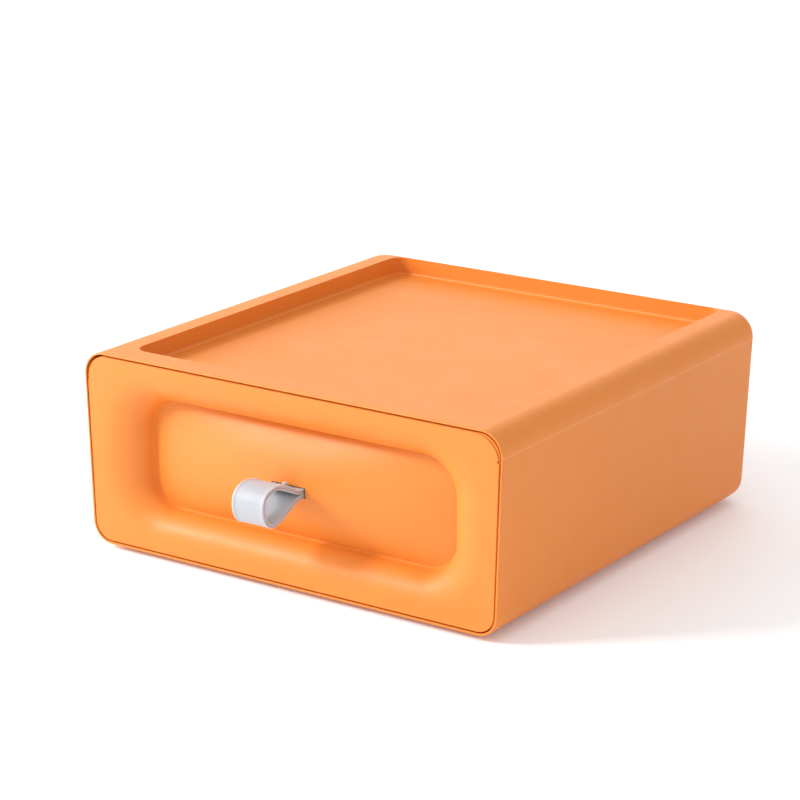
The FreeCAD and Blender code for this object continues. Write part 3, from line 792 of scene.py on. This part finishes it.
@dataclass
class Sleeve:
    """Outer moulding: open mouth in front, stacking recess on top, plinth below."""

    low: Vector
    high: Vector
    parting: float
    foot_places: list[Place]
    bottom: float = 2.6 * MM
    top_radius: float = 11.7 * MM
    bottom_radius: float = 11 * MM
    back_radius: float = 8 * MM
    back_straight: float = 10 * MM
    back_drop: float = 1.2 * MM
    back_rise: float = 3 * MM
    draft: float = 1.7
    wall: float = 2.2 * MM
    lip: float = 1.2 * MM
    upper_lip: float = 0.9 * MM
    lip_round: float = 0.55 * MM
    mouth_depth: float = 11.3 * MM
    side_land: float = 19.4 * MM
    front_land: float = 13.7 * MM
    back_land: float = 2.8 * MM
    recess_depth: float = 9.7 * MM
    recess_radius: float = 8 * MM
    recess_base: float = 1.6 * MM
    rim_round: float = 0.8 * MM
    clearance: float = 0.8 * MM
    plinth_back: float = 14 * MM
    plinth_round: float = 0.6 * MM
    foot_radius: float = 7.1 * MM
    foot_sink: float = 1 * MM
    runner_inset: float = 38 * MM
    runner_width: float = 3 * MM
    runner_rise: float = 1.2 * MM
    runner_gap: float = 16 * MM
    stop_width: float = 60 * MM
    stop_back: float = 14.6 * MM
    stop_length: float = 2.4 * MM
    stop_height: float = 0.9 * MM
    overrun: float = 5 * MM
    soft_width: float = 0.35 * MM
    sharp_angle: float = 38.0
    turn_steps: int = 9

    @property
    def front(self) -> float:
        """Where the front plane lies along Y."""
        return self.low.y

    @property
    def depth(self) -> float:
        """How deep the box is from the front plane to the crown of its back."""
        return self.high.y - self.low.y

    def outline(
        self, inset: float, side: float = 0, top: float = 0, foot: float = 0,
        upper: float | None = None,
    ) -> Outline:
        """The box's outline from the front, taken in by an inset.

        Args:
            inset: How far the whole outline is taken in.
            side: How far the sides are taken in besides.
            top: How far the top is taken in besides.
            foot: How far the underside is taken in besides.
            upper: The inset over the parting line, where it differs.

        Returns:
            The outline.
        """
        upper = inset if upper is None else upper
        half = self.high.x - side
        low = self.bottom + inset + foot
        radius = self.bottom_radius - inset
        lean = (self.parting - low - radius) * slope(self.draft)
        return Outline(
            half - upper, half - inset - lean, low, self.high.z - upper - top,
            self.top_radius - upper, radius,
        )

    def _back(self, sweep: Sweep, inset: float) -> Piece:
        """Draws a volume round the back's upright corners and closes it.

        Args:
            sweep: The volume so far, up to the straight part's end.
            inset: How far the volume is taken in from the outside.

        Returns:
            The closed volume.
        """
        turn = self.front + self.depth - self.back_radius
        reach = self.back_radius - inset
        for i in range(self.turn_steps + 1):
            angle = UPRIGHT * i / self.turn_steps
            closing = 1 - math.cos(angle)
            drop, rise = self.back_drop * closing, self.back_rise * closing
            outline = self.outline(inset, reach * closing, drop, rise)
            sweep.draw_to(outline, turn + reach * math.sin(angle))
            if i == 0:
                sweep.lean(self.draft, self.high.z)
        return sweep.finish(closed=True)

    def _shell(self) -> Piece:
        """Draws the outer skin, with the mouth and the bay cut out of it.

        Returns:
            The hollow skin.
        """
        front = self.front
        straight = front + self.depth - self.back_radius - self.back_straight
        outer = Sweep("sleeve_shell", self.outline(0), front)
        shell = self._back(outer.draw_to(self.outline(0), straight), 0)
        round_edges(shell, self.lip_round, segments=3, at=lambda place: near(place.y, front))
        lip = self.outline(self.lip, upper=self.upper_lip)
        mouth = Sweep("mouth", lip, front - self.overrun)
        combine(shell, Join.CUT, mouth.draw_to(lip, front + self.mouth_depth).finish(closed=True))
        inner = self.outline(self.wall)
        bay = Sweep("bay", inner, front + self.mouth_depth - self.lip).draw_to(inner, straight)
        combine(shell, Join.CUT, self._back(bay, self.wall))
        return shell

    def _recess(self, shell: Piece) -> None:
        """Hangs the stacking recess in the top.

        Args:
            shell: The hollow skin.
        """
        front, top = self.front, self.high.z
        half = self.high.x - self.side_land
        floor = top - self.recess_depth
        near_y, far_y = front + self.front_land, front + self.depth - self.back_land
        tub = rounded_block(
            "tub", (-half - self.wall, near_y - self.wall, floor - self.wall),
            (half + self.wall, far_y + self.back_land - self.wall, top - self.wall / 2),
            self.recess_radius + self.wall, self.recess_base + self.wall / 2,
        )
        combine(shell, Join.ADD, tub)
        recess = rounded_block(
            "recess", (-half, near_y, floor), (half, far_y, top + self.overrun),
            self.recess_radius, self.recess_base,
        )
        combine(shell, Join.CUT, recess)
        margin = self.clearance / 2

        def on_rim(place: Vector) -> bool:
            """Whether a place lies on the recess's upper edge."""
            inside = abs(place.x) < half + margin and near_y - margin < place.y < far_y + margin
            return near(place.z, top) and inside

        round_edges(shell, self.rim_round, segments=3, at=on_rim)

    def _plinth(self, shell: Piece) -> None:
        """Adds the plinth with its well and foot seats, and the runners and the stop inside.

        Args:
            shell: The hollow skin.
        """
        front, ground = self.front, self.low.z
        half = self.high.x - self.side_land - self.clearance
        near_y = front + self.front_land + self.clearance
        far_y = front + self.depth - self.plinth_back
        radius = self.recess_radius - self.clearance
        plinth = rounded_block(
            "plinth", (-half, near_y, ground), (half, far_y, self.bottom + self.wall / 2),
            radius, self.plinth_round,
        )
        combine(shell, Join.ADD, plinth)
        well = rounded_block(
            "well", (self.wall - half, near_y + self.wall, ground + self.wall),
            (half - self.wall, far_y - self.wall, self.bottom + self.wall + self.clearance),
            radius - self.wall,
        )
        combine(shell, Join.CUT, well)
        for x, y, _ in self.foot_places:
            middle, height = (x, y, ground), 2 * self.foot_sink
            seat = add_cylinder("seat", self.foot_radius, height, middle, sides=64)
            combine(shell, Join.CUT, seat)
        rib = self.high.x - self.runner_inset
        inside = self.bottom + self.wall
        for left in (-rib, rib - self.runner_width):
            runner = add_block(
                "runner", (left, front + self.runner_gap, ground + self.wall / 2),
                (left + self.runner_width, far_y - self.runner_gap, inside + self.runner_rise),
            )
            combine(shell, Join.ADD, runner)
        side, back = self.stop_width / 2, front + self.stop_back
        stop = add_block(
            "stop", (-side, back - self.stop_length, self.bottom + self.wall / 2),
            (side, back, inside + self.stop_height),
        )
        combine(shell, Join.ADD, stop)

    def build(self, finish: MouldedPlastic) -> Piece:
        """Builds and dresses the sleeve.

        Args:
            finish: Its finish.

        Returns:
            The finished piece.
        """
        shell = self._shell()
        self._recess(shell)
        self._plinth(shell)
        clean(shell)
        soften_edges(shell, self.soft_width, self.sharp_angle)
        shade(shell, angle=32)
        dress(shell, finish.make())
        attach(shell, Body.HOUSING.value)
        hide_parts("sleeve")
        return shell


@dataclass
class DrawerFront:
    """Panel with a flat frame, a roll down to a crease, a cushion in the middle and tabs behind."""

    low: Vector
    high: Vector
    parting: float
    draft: float = 1.7
    top_radius: float = 10.9 * MM
    face_radius: float = 13.2 * MM
    face_inset: float = 0.1 * MM
    ledge: float = 0.7 * MM
    nick_radius: float = 0.8 * MM
    nick_inset: float = 0.5 * MM
    nick_height: float = 86.6 * MM
    bottom_radius: float = 9.2 * MM
    flange: float = 11 * MM
    wall: float = 2.2 * MM
    side_inset: float = 8.2 * MM
    level_inset: float = 5.4 * MM
    side_run: float = 21.1 * MM
    level_run: float = 13.9 * MM
    lift: float = 0.6 * MM
    roll_radius: float = 30 * MM
    crease_radius: float = 17 * MM
    crease_depth: float = 14 * MM
    facet_width: float = 0.8 * MM
    facet_depth: float = 1.5 * MM
    pillow_rise: float = 10.8 * MM
    slot_width: float = 19.6 * MM
    slot_height: float = 5.4 * MM
    slot_drop: float = 1.1 * MM
    tab_width: float = 10 * MM
    tab_thickness: float = 1.8 * MM
    tab_spacing: float = 120 * MM
    tab_length: float = 4.4 * MM
    hook: float = 1.2 * MM
    hook_length: float = 1.6 * MM
    rim_round: float = 0.45 * MM
    rim_margin: float = 1 * MM
    crown_share: float = 0.001
    slot_round: float = 0.01 * MM
    tab_gap: float = 0.2 * MM
    corner_steps: int = 18
    roll_steps: int = 18
    columns: int = 56
    rows: int = 26

    @property
    def front(self) -> float:
        """Where the panel's flat frame lies along Y."""
        return self.low.y

    @property
    def middle(self) -> float:
        """The height of the cushion's middle."""
        return (self.low.z + self.high.z) / 2

    @property
    def slot_middle(self) -> float:
        """The height of the slot's middle."""
        return self.middle - self.slot_drop

    def frame_outline(self, top_radius: float, inset: float = 0) -> Outline:
        """The panel's own outline.

        Args:
            top_radius: The radius of its upper corners.
            inset: How far the whole outline is taken in.

        Returns:
            The outline, drafted like the sleeve's mouth.
        """
        half, lean = self.high.x - inset, slope(self.draft)
        return Outline(
            half - (top_radius - self.top_radius) * lean,
            half - (self.parting - self.low.z - self.bottom_radius) * lean,
            self.low.z + inset, self.high.z - inset, top_radius, self.bottom_radius - inset,
        )

    def roll_at(self, share: float) -> tuple[Outline, float]:
        """The outline and depth part of the way down the roll.

        Args:
            share: 0 at the flat frame, 1 at the crease.

        Returns:
            The outline, and its depth behind the flat frame.
        """
        angle = UPRIGHT * share
        run, fall = math.sin(angle), 1 - math.cos(angle)
        half_width = self.high.x - self.side_inset - self.side_run * run
        half_height = (self.high.z - self.low.z) / 2 - self.level_inset - self.level_run * run
        radius = self.roll_radius - (self.roll_radius - self.crease_radius) * run
        middle = self.middle + self.lift * (1 - run)
        low, high = middle - half_height, middle + half_height
        return Outline(half_width, half_width, low, high, radius, radius), self.crease_depth * fall

    def _crease_half(self) -> Range:
        """Half the width and half the height of the crease's outline."""
        edge, _ = self.roll_at(1)
        return edge.upper_half, (edge.high - edge.low) / 2

    def _share_of_crease(self, across: float, up: float) -> float:
        """How large the crease's outline is when it passes through a place, as a share of its size.

        Args:
            across: The place's distance from the middle, to the side.
            up: The place's distance from the middle, up or down.

        Returns:
            0 at the middle and 1 on the crease.
        """
        half_width, half_height = self._crease_half()
        side, level = half_width - self.crease_radius, half_height - self.crease_radius
        if abs(up) * half_width <= abs(across) * level:
            return abs(across) / half_width
        if abs(across) * half_height <= abs(up) * side:
            return abs(up) / half_height
        along = side * abs(across) + level * abs(up)
        square = side ** 2 + level ** 2 - self.crease_radius ** 2
        return (along - math.sqrt(max(0.0, along ** 2 - square * (across ** 2 + up ** 2)))) / square

    def rise_at(self, across: float, up: float) -> float:
        """How far the cushion stands over the crease, crowned from side to side and upwards.

        Args:
            across: The place's distance from the middle, to the side.
            up: The place's distance from the middle, up or down.

        Returns:
            The rise, nothing on the crease and the full rise in the middle.
        """
        half_width, half_height = self._crease_half()
        share = self._share_of_crease(across, up)
        if share < self.crown_share:
            return self.pillow_rise

        def crown(x: float, z: float) -> float:
            """The plain crown of the rectangle round the crease."""
            return (1 - (x / half_width) ** 2) * (1 - (z / half_height) ** 2)

        corner = crown(across / share, up / share) * share ** 4
        return self.pillow_rise * (crown(across, up) - corner)

    def _face(self) -> Piece:
        """Draws the panel's skin from the flange's back edge round to the cushion's crown.

        Returns:
            The skin, open behind.
        """
        front = self.front
        back = self.frame_outline(self.top_radius)
        face = self.frame_outline(self.face_radius, self.face_inset)
        sweep = Sweep("drawer_front_panel", back, front + self.flange, self.corner_steps)
        sweep.draw_to(back, front + self.ledge)
        sweep.draw_to(face, front + self.ledge).draw_to(face, front)
        end = math.acos(self.facet_depth / self.crease_depth) / UPRIGHT
        for i in range(self.roll_steps + 1):
            outline, depth = self.roll_at(end * i / self.roll_steps)
            sweep.draw_to(outline, front + depth)
        crease, depth = self.roll_at(1)
        sweep.draw_to(crease.inside(self.facet_width), front + depth)
        self._crown(sweep.piece)
        return sweep.finish(closed=False)

    def _crown(self, panel: Piece) -> None:
        """Cuts the face inside the crease into a grid and raises it to the cushion's crown.

        Args:
            panel: The panel, open for editing with that face selected.
        """
        plane = self.front + self.crease_depth
        half_width, half_height = self._crease_half()
        cuts = [
            ((half_width * (2 * i / self.columns - 1), plane, self.middle), (1, 0, 0))
            for i in range(1, self.columns)
        ] + [
            ((0, plane, self.middle + half_height * (2 * i / self.rows - 1)), (0, 0, 1))
            for i in range(1, self.rows)
        ]
        for place, direction in cuts:
            bpy.ops.mesh.bisect(plane_co=place, plane_no=direction)
            select_points(panel, lambda point: near(point.y, plane))
        mesh = bmesh.from_edit_mesh(panel.data)
        for point in mesh.verts:
            if point.select:
                point.co.y -= self.rise_at(point.co.x, point.co.z - self.middle)
        bmesh.update_edit_mesh(panel.data)

    def _tabs(self, panel: Piece) -> None:
        """Adds the snap tabs and their hooks behind the panel.

        Args:
            panel: The panel.
        """
        crease, depth = self.roll_at(1)
        start = self.front + depth
        for side in (-1, 1):
            left = side * self.tab_spacing / 2 - self.tab_width / 2
            for level, edge in ((1, crease.high), (-1, crease.low)):
                inner = edge + level * self.tab_gap
                outer = inner + level * self.tab_thickness
                tip = inner + level * (self.tab_thickness + self.hook)
                end = start + self.tab_length
                for name, near_y, far_y, rim in (
                    ("tab", start, end, outer), ("hook", end, end + self.hook_length, tip),
                ):
                    block = add_block(
                        name, (left, near_y, min(inner, rim)),
                        (left + self.tab_width, far_y, max(inner, rim)),
                    )
                    combine(panel, Join.ADD, block)

    def build(self, finish: MouldedPlastic) -> Piece:
        """Builds and dresses the panel.

        Args:
            finish: Its finish.

        Returns:
            The finished piece.
        """
        panel = self._face()
        front = self.front
        round_edges(panel, self.rim_round, segments=3, at=self._on_rim)
        apply_step(panel, "SOLIDIFY", thickness=self.wall, offset=-1)
        side, level = self.slot_width / 2, self.slot_height / 2
        slot = rounded_block(
            "slot", (-side, front - self.wall, self.slot_middle - level),
            (side, front + self.crease_depth, self.slot_middle + level), self.slot_round,
        )
        combine(panel, Join.CUT, slot)
        for side in (-1, 1):
            middle = (side * (self.high.x - self.nick_inset), front, self.nick_height)
            nick = add_cylinder(
                "nick", self.nick_radius, 2 * self.ledge, middle, sides=24, turn=(UPRIGHT, 0, 0),
            )
            combine(panel, Join.CUT, nick)
        self._tabs(panel)
        clean(panel)
        shade(panel, angle=34)
        dress(panel, finish.make())
        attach(panel, Body.DRAWER.value)
        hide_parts("drawer_front")
        return panel

    def _on_rim(self, place: Vector) -> bool:
        """Whether a place lies on the outer outline of the flat frame.

        Args:
            place: The place.

        Returns:
            Whether it does.
        """
        roll, _ = self.roll_at(0)
        aside = abs(place.x) > roll.upper_half + self.rim_margin
        level = place.z > roll.high + self.rim_margin or place.z < roll.low - self.rim_margin
        return near(place.y, self.front) and (aside or level)


@dataclass
class DrawerTray:
    """Open tray behind the front, drafted like the sleeve, with a heel under its floor."""

    low: Vector
    high: Vector
    front: float
    middle: float
    wall: float = 2 * MM
    radius: float = 9 * MM
    base_radius: float = 7 * MM
    draft: float = 1.7
    heel_height: float = 0.9 * MM
    heel_width: float = 60 * MM
    heel_length: float = 3 * MM
    heel_back: float = 204.9 * MM
    crease_half: float = 26.8 * MM
    tab_spacing: float = 120 * MM
    window_width: float = 10.4 * MM
    window_height: float = 3.4 * MM
    soft_width: float = 0.3 * MM
    sharp_angle: float = 50.0

    def build(self, finish: MouldedPlastic) -> Piece:
        """Builds and dresses the tray.

        Args:
            finish: Its finish.

        Returns:
            The finished piece.
        """
        base = self.low.z + self.heel_height
        rim = self.high.z
        lean = (rim - base) * slope(self.draft)
        tray = add_block("drawer_tray_shell", (self.low.x, self.low.y, base), tuple(self.high))
        edit(tray)
        select_points(tray, lambda place: near(place.z, base))
        bpy.ops.transform.resize(
            value=((self.high.x - lean) / self.high.x, 1, 1), center_override=(0, self.low.y, base),
        )
        select_points(tray, lambda place: near(place.z, base) and place.y > 0)
        bpy.ops.transform.translate(value=(0, -lean, 0))
        leave_edit()
        round_edges(tray, self.radius, segments=10)
        round_edges(tray, self.base_radius, segments=8, at=lambda place: near(place.z, base))
        edit(tray)
        select_points(tray, lambda place: near(place.z, rim))
        bpy.ops.mesh.delete(type="ONLY_FACE")
        leave_edit()
        apply_step(tray, "SOLIDIFY", thickness=self.wall, offset=-1, use_even_offset=True)
        for side in (-1, 1):
            left = side * self.tab_spacing / 2 - self.window_width / 2
            for level in (-1, 1):
                edge = self.middle + level * self.crease_half
                end = edge + level * self.window_height
                window = add_block(
                    "window", (left, self.low.y - self.wall, min(edge, end)),
                    (left + self.window_width, self.low.y + 2 * self.wall, max(edge, end)),
                )
                combine(tray, Join.CUT, window)
        side, heel_front = self.heel_width / 2, self.front + self.heel_back
        heel = add_block(
            "heel", (-side, heel_front, self.low.z),
            (side, heel_front + self.heel_length, base + self.wall / 2),
        )
        combine(tray, Join.ADD, heel)
        clean(tray)
        soften_edges(tray, self.soft_width, self.sharp_angle)
        shade(tray, angle=32)
        dress(tray, finish.make())
        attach(tray, Body.DRAWER.value)
        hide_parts("drawer_tray")
        return tray


@dataclass
class PullStrap:
    """Soft band: open round a finger in front, double through the slot, closed round the pin."""

    low: Vector
    high: Vector
    front: float
    slot_middle: float
    pin: Vector
    thickness: float = 2.3 * MM
    rim_width: float = 1.5 * MM
    rim_rise: float = 0.22 * MM
    rim_fall: float = 0.02 * MM
    bead: float = 0.34 * MM
    bead_shares: tuple[float, float, float] = (0.3, 1.7, 2.2)
    groove: float = 0.42 * MM
    neck_depth: float = 3.2 * MM
    pip_radius: float = 1.3 * MM
    pip_height: float = 1.5 * MM
    pip_round: float = 0.4 * MM
    pip_setback: float = 2.4 * MM
    # Middle line of the front loop in mm: distance ahead of the front, height over the slot
    loop: tuple[Range, ...] = (
        (-1.5, 1.2), (2.5, 2.5), (6.5, 4.9), (12.5, 7.4), (20.0, 8.0), (25.6, 5.2), (27.0, 0.2),
        (25.6, -5.2), (21.2, -8.9), (16.0, -8.4), (9.5, -5.6), (3.6, -2.6), (-1.5, -1.2),
    )

    def _line(self) -> list[Vector]:
        """The band's closed middle line, seen from the side.

        Returns:
            Its places, from the slot round the front loop and back round the pin.
        """
        half = self.thickness / 2
        neck = self.front + self.neck_depth
        points = [
            (self.front - ahead * MM, self.slot_middle + rise * MM) for ahead, rise in self.loop
        ]
        turn, between = self.pin.z, (neck + self.pin.y) / 2
        eye = self.high.y - half - self.pin.y
        lower, upper = self.slot_middle - half, self.slot_middle + half
        points += [
            (neck, lower), (between, lower), (self.pin.y, turn - eye), (self.pin.y + eye, turn),
            (self.pin.y, turn + eye), (between, upper), (neck, upper),
        ]
        return [Vector((0, y, z)) for y, z in points]

    def _section(self) -> Piece:
        """The band's section: raised rims outside, and two beads round a groove in each edge.

        Returns:
            The section as a closed curve.
        """
        half, wide, bead = self.thickness / 2, self.high.x, self.bead
        turn, far, floor = (bead * share for share in self.bead_shares)
        right = [
            (wide - self.rim_width - bead, half - self.rim_rise),
            (wide - self.rim_width, half - self.rim_fall),
            (wide - bead, half), (wide - turn, half - turn), (wide, half - bead),
            (wide - turn, half - far), (wide - self.groove, half - floor),
            (wide - self.groove, floor - half), (wide - turn, far - half),
            (wide, bead - half), (wide - turn, turn - half), (wide - bead, -half),
        ]
        points = right + [(-x, y) for x, y in reversed(right)]
        section = self._blank_curve("strap_section")
        spline = section.data.splines.new("POLY")
        spline.points.add(len(points) - 1)
        for point, (x, y) in zip(spline.points, points):
            point.co = (x, y, 0, 1)
        spline.use_cyclic_u = True
        return section

    @staticmethod
    def _blank_curve(name: str) -> Piece:
        """Adds a curve with nothing in it yet.

        Args:
            name: The curve's name.

        Returns:
            The curve.
        """
        bpy.ops.object.select_all(action="DESELECT")
        bpy.ops.curve.primitive_bezier_circle_add(location=(0, 0, 0))
        piece = bpy.context.object
        piece.name = name
        piece.data.splines.clear()
        return piece

    def _band(self) -> Piece:
        """Draws the section along the middle line.

        Returns:
            The band as a mesh.
        """
        path = self._blank_curve("pull_loop_band")
        curve = path.data
        curve.dimensions = "3D"
        curve.twist_mode = "MINIMUM"
        spline = curve.splines.new("BEZIER")
        line = self._line()
        spline.bezier_points.add(len(line) - 1)
        for point, place in zip(spline.bezier_points, line):
            point.co = place
            point.handle_left_type = point.handle_right_type = "AUTO"
        spline.use_cyclic_u = True
        spline.resolution_u = 10
        section = self._section()
        curve.bevel_mode = "OBJECT"
        curve.bevel_object = section
        pick(path)
        bpy.ops.object.convert(target="MESH")
        bpy.data.objects.remove(section)
        return bpy.context.object

    def _pip(self) -> Piece:
        """Adds the small domed stud that keeps the band from slipping back through the slot.

        Returns:
            The stud.
        """
        level = self.slot_middle + self.thickness + self.pip_height / 2
        middle = (0, self.front + self.neck_depth - self.pip_setback, level)
        pip = add_cylinder("pull_loop_stud", self.pip_radius, self.pip_height * 2, middle, sides=40)
        high = level + self.pip_height
        round_edges(pip, self.pip_round, segments=4, at=lambda place: near(place.z, high))
        return pip

    def build(self, finish: SoftElastomer) -> Piece:
        """Builds and dresses the band with its stud.

        Args:
            finish: Its finish.

        Returns:
            The finished piece.
        """
        band = self._band()
        clean(band)
        combine(band, Join.ADD, self._pip())
        clean(band)
        shade(band, angle=30)
        dress(band, finish.make())
        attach(band, Body.DRAWER.value)
        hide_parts("pull_strap")
        return band


@dataclass
class Feet:
    """Four soft pads set in the plinth, each a low disc with a rounded tread and a ring groove."""

    nodes: tuple[str, ...] = (
        "foot_front_left", "foot_front_right", "foot_rear_left", "foot_rear_right",
    )
    tread_width: float = 2 * MM
    tread_round: float = 0.3 * MM
    tread_margin: float = 0.1 * MM
    groove_width: float = 1 * MM
    groove_depth: float = 0.25 * MM

    def places(self) -> list[Place]:
        """The middle of each foot, on the ground."""
        boxes = [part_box(node) for node in self.nodes]
        return [((low.x + high.x) / 2, (low.y + high.y) / 2, low.z) for low, high in boxes]

    def _first(self) -> Piece:
        """Models the first pad.

        Returns:
            The pad.
        """
        low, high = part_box(self.nodes[0])
        radius = (high.x - low.x) / 2
        middle, base = (low + high) / 2, low.z
        pad = add_cylinder(f"{self.nodes[0]}_pad", radius, high.z - base, tuple(middle), sides=56)
        edit(pad)
        select_points(pad, lambda place: near(place.z, base))
        bpy.ops.mesh.inset(thickness=self.tread_width)
        bpy.ops.mesh.inset(thickness=self.groove_width / 2, depth=-self.groove_depth)
        bpy.ops.mesh.inset(thickness=self.groove_width / 2, depth=self.groove_depth)
        leave_edit()

        def on_tread(place: Vector) -> bool:
            """Whether a place lies on the outer edge of the pad's underside."""
            return near(place.z, base) and (place - middle).xy.length > radius - self.tread_margin

        round_edges(pad, self.tread_round, segments=3, at=on_tread)
        return pad

    def build(self, finish: SoftElastomer) -> list[Piece]:
        """Builds one pad, copies it to the other places and dresses all four.

        Args:
            finish: Their finish.

        Returns:
            The four pads.
        """
        material = finish.make()
        first = self._first()
        shade(first, angle=30)
        home = Vector(self.places()[0])
        pads = [first]
        for node, place in zip(self.nodes[1:], self.places()[1:]):
            pick(first)
            bpy.ops.object.duplicate(linked=False)
            bpy.context.object.location = Vector(place) - home
            pads.append(settle(f"{node}_pad"))
        for node, pad in zip(self.nodes, pads):
            dress(pad, material)
            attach(pad, Body.HOUSING.value)
            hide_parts(node)
        return pads


# Stage, lights and camera


@dataclass(frozen=True)
class SoftLight:
    """Square soft light that faces the box from a bearing."""

    name: str
    azimuth: float
    elevation: float
    power: float
    size: float
    distance: float = 4.0

    def hang(self, aim: Vector) -> None:
        """Hangs the light.

        Args:
            aim: The place it faces.
        """
        back = bearing(self.azimuth, self.elevation)
        bpy.ops.object.light_add(type="AREA", location=aim + back * self.distance)
        lamp = bpy.context.object
        lamp.name = self.name
        lamp.rotation_mode = "QUATERNION"
        lamp.rotation_quaternion = back.to_track_quat("Z", "Y")
        lamp.data.energy = self.power
        lamp.data.size = self.size


@dataclass
class Studio:
    """Pale floor, soft white surroundings, a key light from the front left and fainter ones."""

    floor_size: float = 12.0
    floor_colour: Place = (0.96, 0.96, 0.96)
    floor_glow: Place = (0.07, 0.085, 0.10)
    surround: float = 0.80
    lights: tuple[SoftLight, ...] = (
        SoftLight("key_light", -45.0, 33.0, 27.5, 0.44, 2.2),
        SoftLight("low_light", -68.0, 18.0, 24.5, 0.77, 2.2),
        SoftLight("back_light", -146.0, 26.0, 20.0, 3.2),
        SoftLight("top_light", 10.0, 78.0, 12.0, 2.0),
    )

    def _floor(self) -> None:
        """Lays the floor."""
        bpy.ops.object.select_all(action="DESELECT")
        bpy.ops.mesh.primitive_plane_add(size=self.floor_size, location=(0, 0, 0))
        floor = bpy.context.object
        floor.name = "studio_floor"
        nodes = Nodes("studio_paper")
        nodes.gloss(nodes.noise(scale=40, detail=3), (0.3, 0.7), (0.62, 0.72))
        nodes.fill(
            nodes.shader, Base_Color=(*self.floor_colour, 1), Specular_IOR_Level=0.2,
            Emission_Color=(*self.floor_glow, 1), Emission_Strength=1.0,
        )
        dress(floor, nodes.material)
        floor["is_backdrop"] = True

    def _surroundings(self) -> None:
        """Fills the surroundings with even white light."""
        world = bpy.data.worlds.new("studio_surroundings")
        world.use_nodes = True
        Nodes.fill(world.node_tree.nodes["Background"], Color=(1, 1, 1, 1), Strength=self.surround)
        bpy.context.scene.world = world

    def build(self, aim: Vector) -> None:
        """Builds the floor, the surroundings and the lights.

        Args:
            aim: The place that the lights face.
        """
        self._floor()
        self._surroundings()
        for light in self.lights:
            light.hang(aim)
        bpy.context.scene.view_settings.view_transform = "Standard"
        bpy.context.scene.view_settings.look = "None"


@dataclass
class Camera:
    """Long lens from the front right, a little above the box."""

    lens: float = 120.49
    azimuth: float = 34.467
    elevation: float = 16.986
    roll: float = -0.105
    distance: float = 1.3409
    target: Place = (-14.19 * MM, 8.79 * MM, 63.17 * MM)
    sensor: float = 36.0
    span: Range = (0.05, 30.0)

    def build(self) -> None:
        """Places the camera and makes it the scene's."""
        a, r = math.radians(self.azimuth), math.radians(self.roll)
        back = bearing(self.azimuth, self.elevation)
        level = Vector((math.cos(a), math.sin(a), 0))
        upright = back.cross(level)
        right = level * math.cos(r) + upright * math.sin(r)
        up = upright * math.cos(r) - level * math.sin(r)
        data = bpy.data.cameras.new("photo_camera")
        data.lens = self.lens
        data.sensor_width = self.sensor
        data.clip_start, data.clip_end = self.span
        camera = bpy.data.objects.new("photo_camera", data)
        bpy.context.scene.collection.objects.link(camera)
        camera.rotation_mode = "QUATERNION"
        camera.rotation_quaternion = Matrix((right, up, back)).transposed().to_quaternion()
        camera.location = Vector(self.target) + back * self.distance
        bpy.context.scene.camera = camera


def tell(piece: Piece) -> None:
    """Logs a finished piece."""
    log.info("%s: %d faces", piece.name, len(piece.data.polygons))


def main() -> None:
    """Builds the box piece by piece and logs each."""
    logging.basicConfig(level=logging.INFO, format="%(name)s: %(message)s")
    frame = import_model()
    cad_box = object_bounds()
    Camera().build()
    Studio().build(Vector((0, 0, (cad_box[0].z + cad_box[1].z) / 2)))

    orange, deep = (0.78, 0.236, 0.027), (0.76, 0.226, 0.024)
    feet = Feet()
    sleeve_low, sleeve_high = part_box("sleeve")
    parting = sleeve_high.z - Sleeve.top_radius
    sleeve = Sleeve(sleeve_low, sleeve_high, parting, feet.places())
    tell(sleeve.build(MouldedPlastic("sleeve_moulding", orange, deep, witness_height=parting)))

    drawer_front = DrawerFront(*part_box("drawer_front"), parting)
    tell(drawer_front.build(MouldedPlastic("front_moulding", orange, deep)))

    tray = DrawerTray(*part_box("drawer_tray"), drawer_front.front, drawer_front.middle)
    tell(tray.build(MouldedPlastic("tray_moulding", orange, deep, roughness=0.46)))

    pin, (pin_low, pin_high) = frame["nodes"]["strap_pin"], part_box("strap_pin")
    dress(pin, DrawnSteel("drawn_steel", (0.62, 0.63, 0.65)).make())
    tell(pin)

    middle = (pin_low + pin_high) / 2
    strap = PullStrap(*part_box("pull_strap"), drawer_front.front, drawer_front.slot_middle, middle)
    tell(strap.build(SoftElastomer("band_elastomer", (0.47, 0.485, 0.515), (0.445, 0.46, 0.49))))

    for pad in feet.build(SoftElastomer("pad_elastomer", (0.30, 0.31, 0.33), (0.26, 0.27, 0.29))):
        tell(pad)


if __name__ == "__main__":
    main()
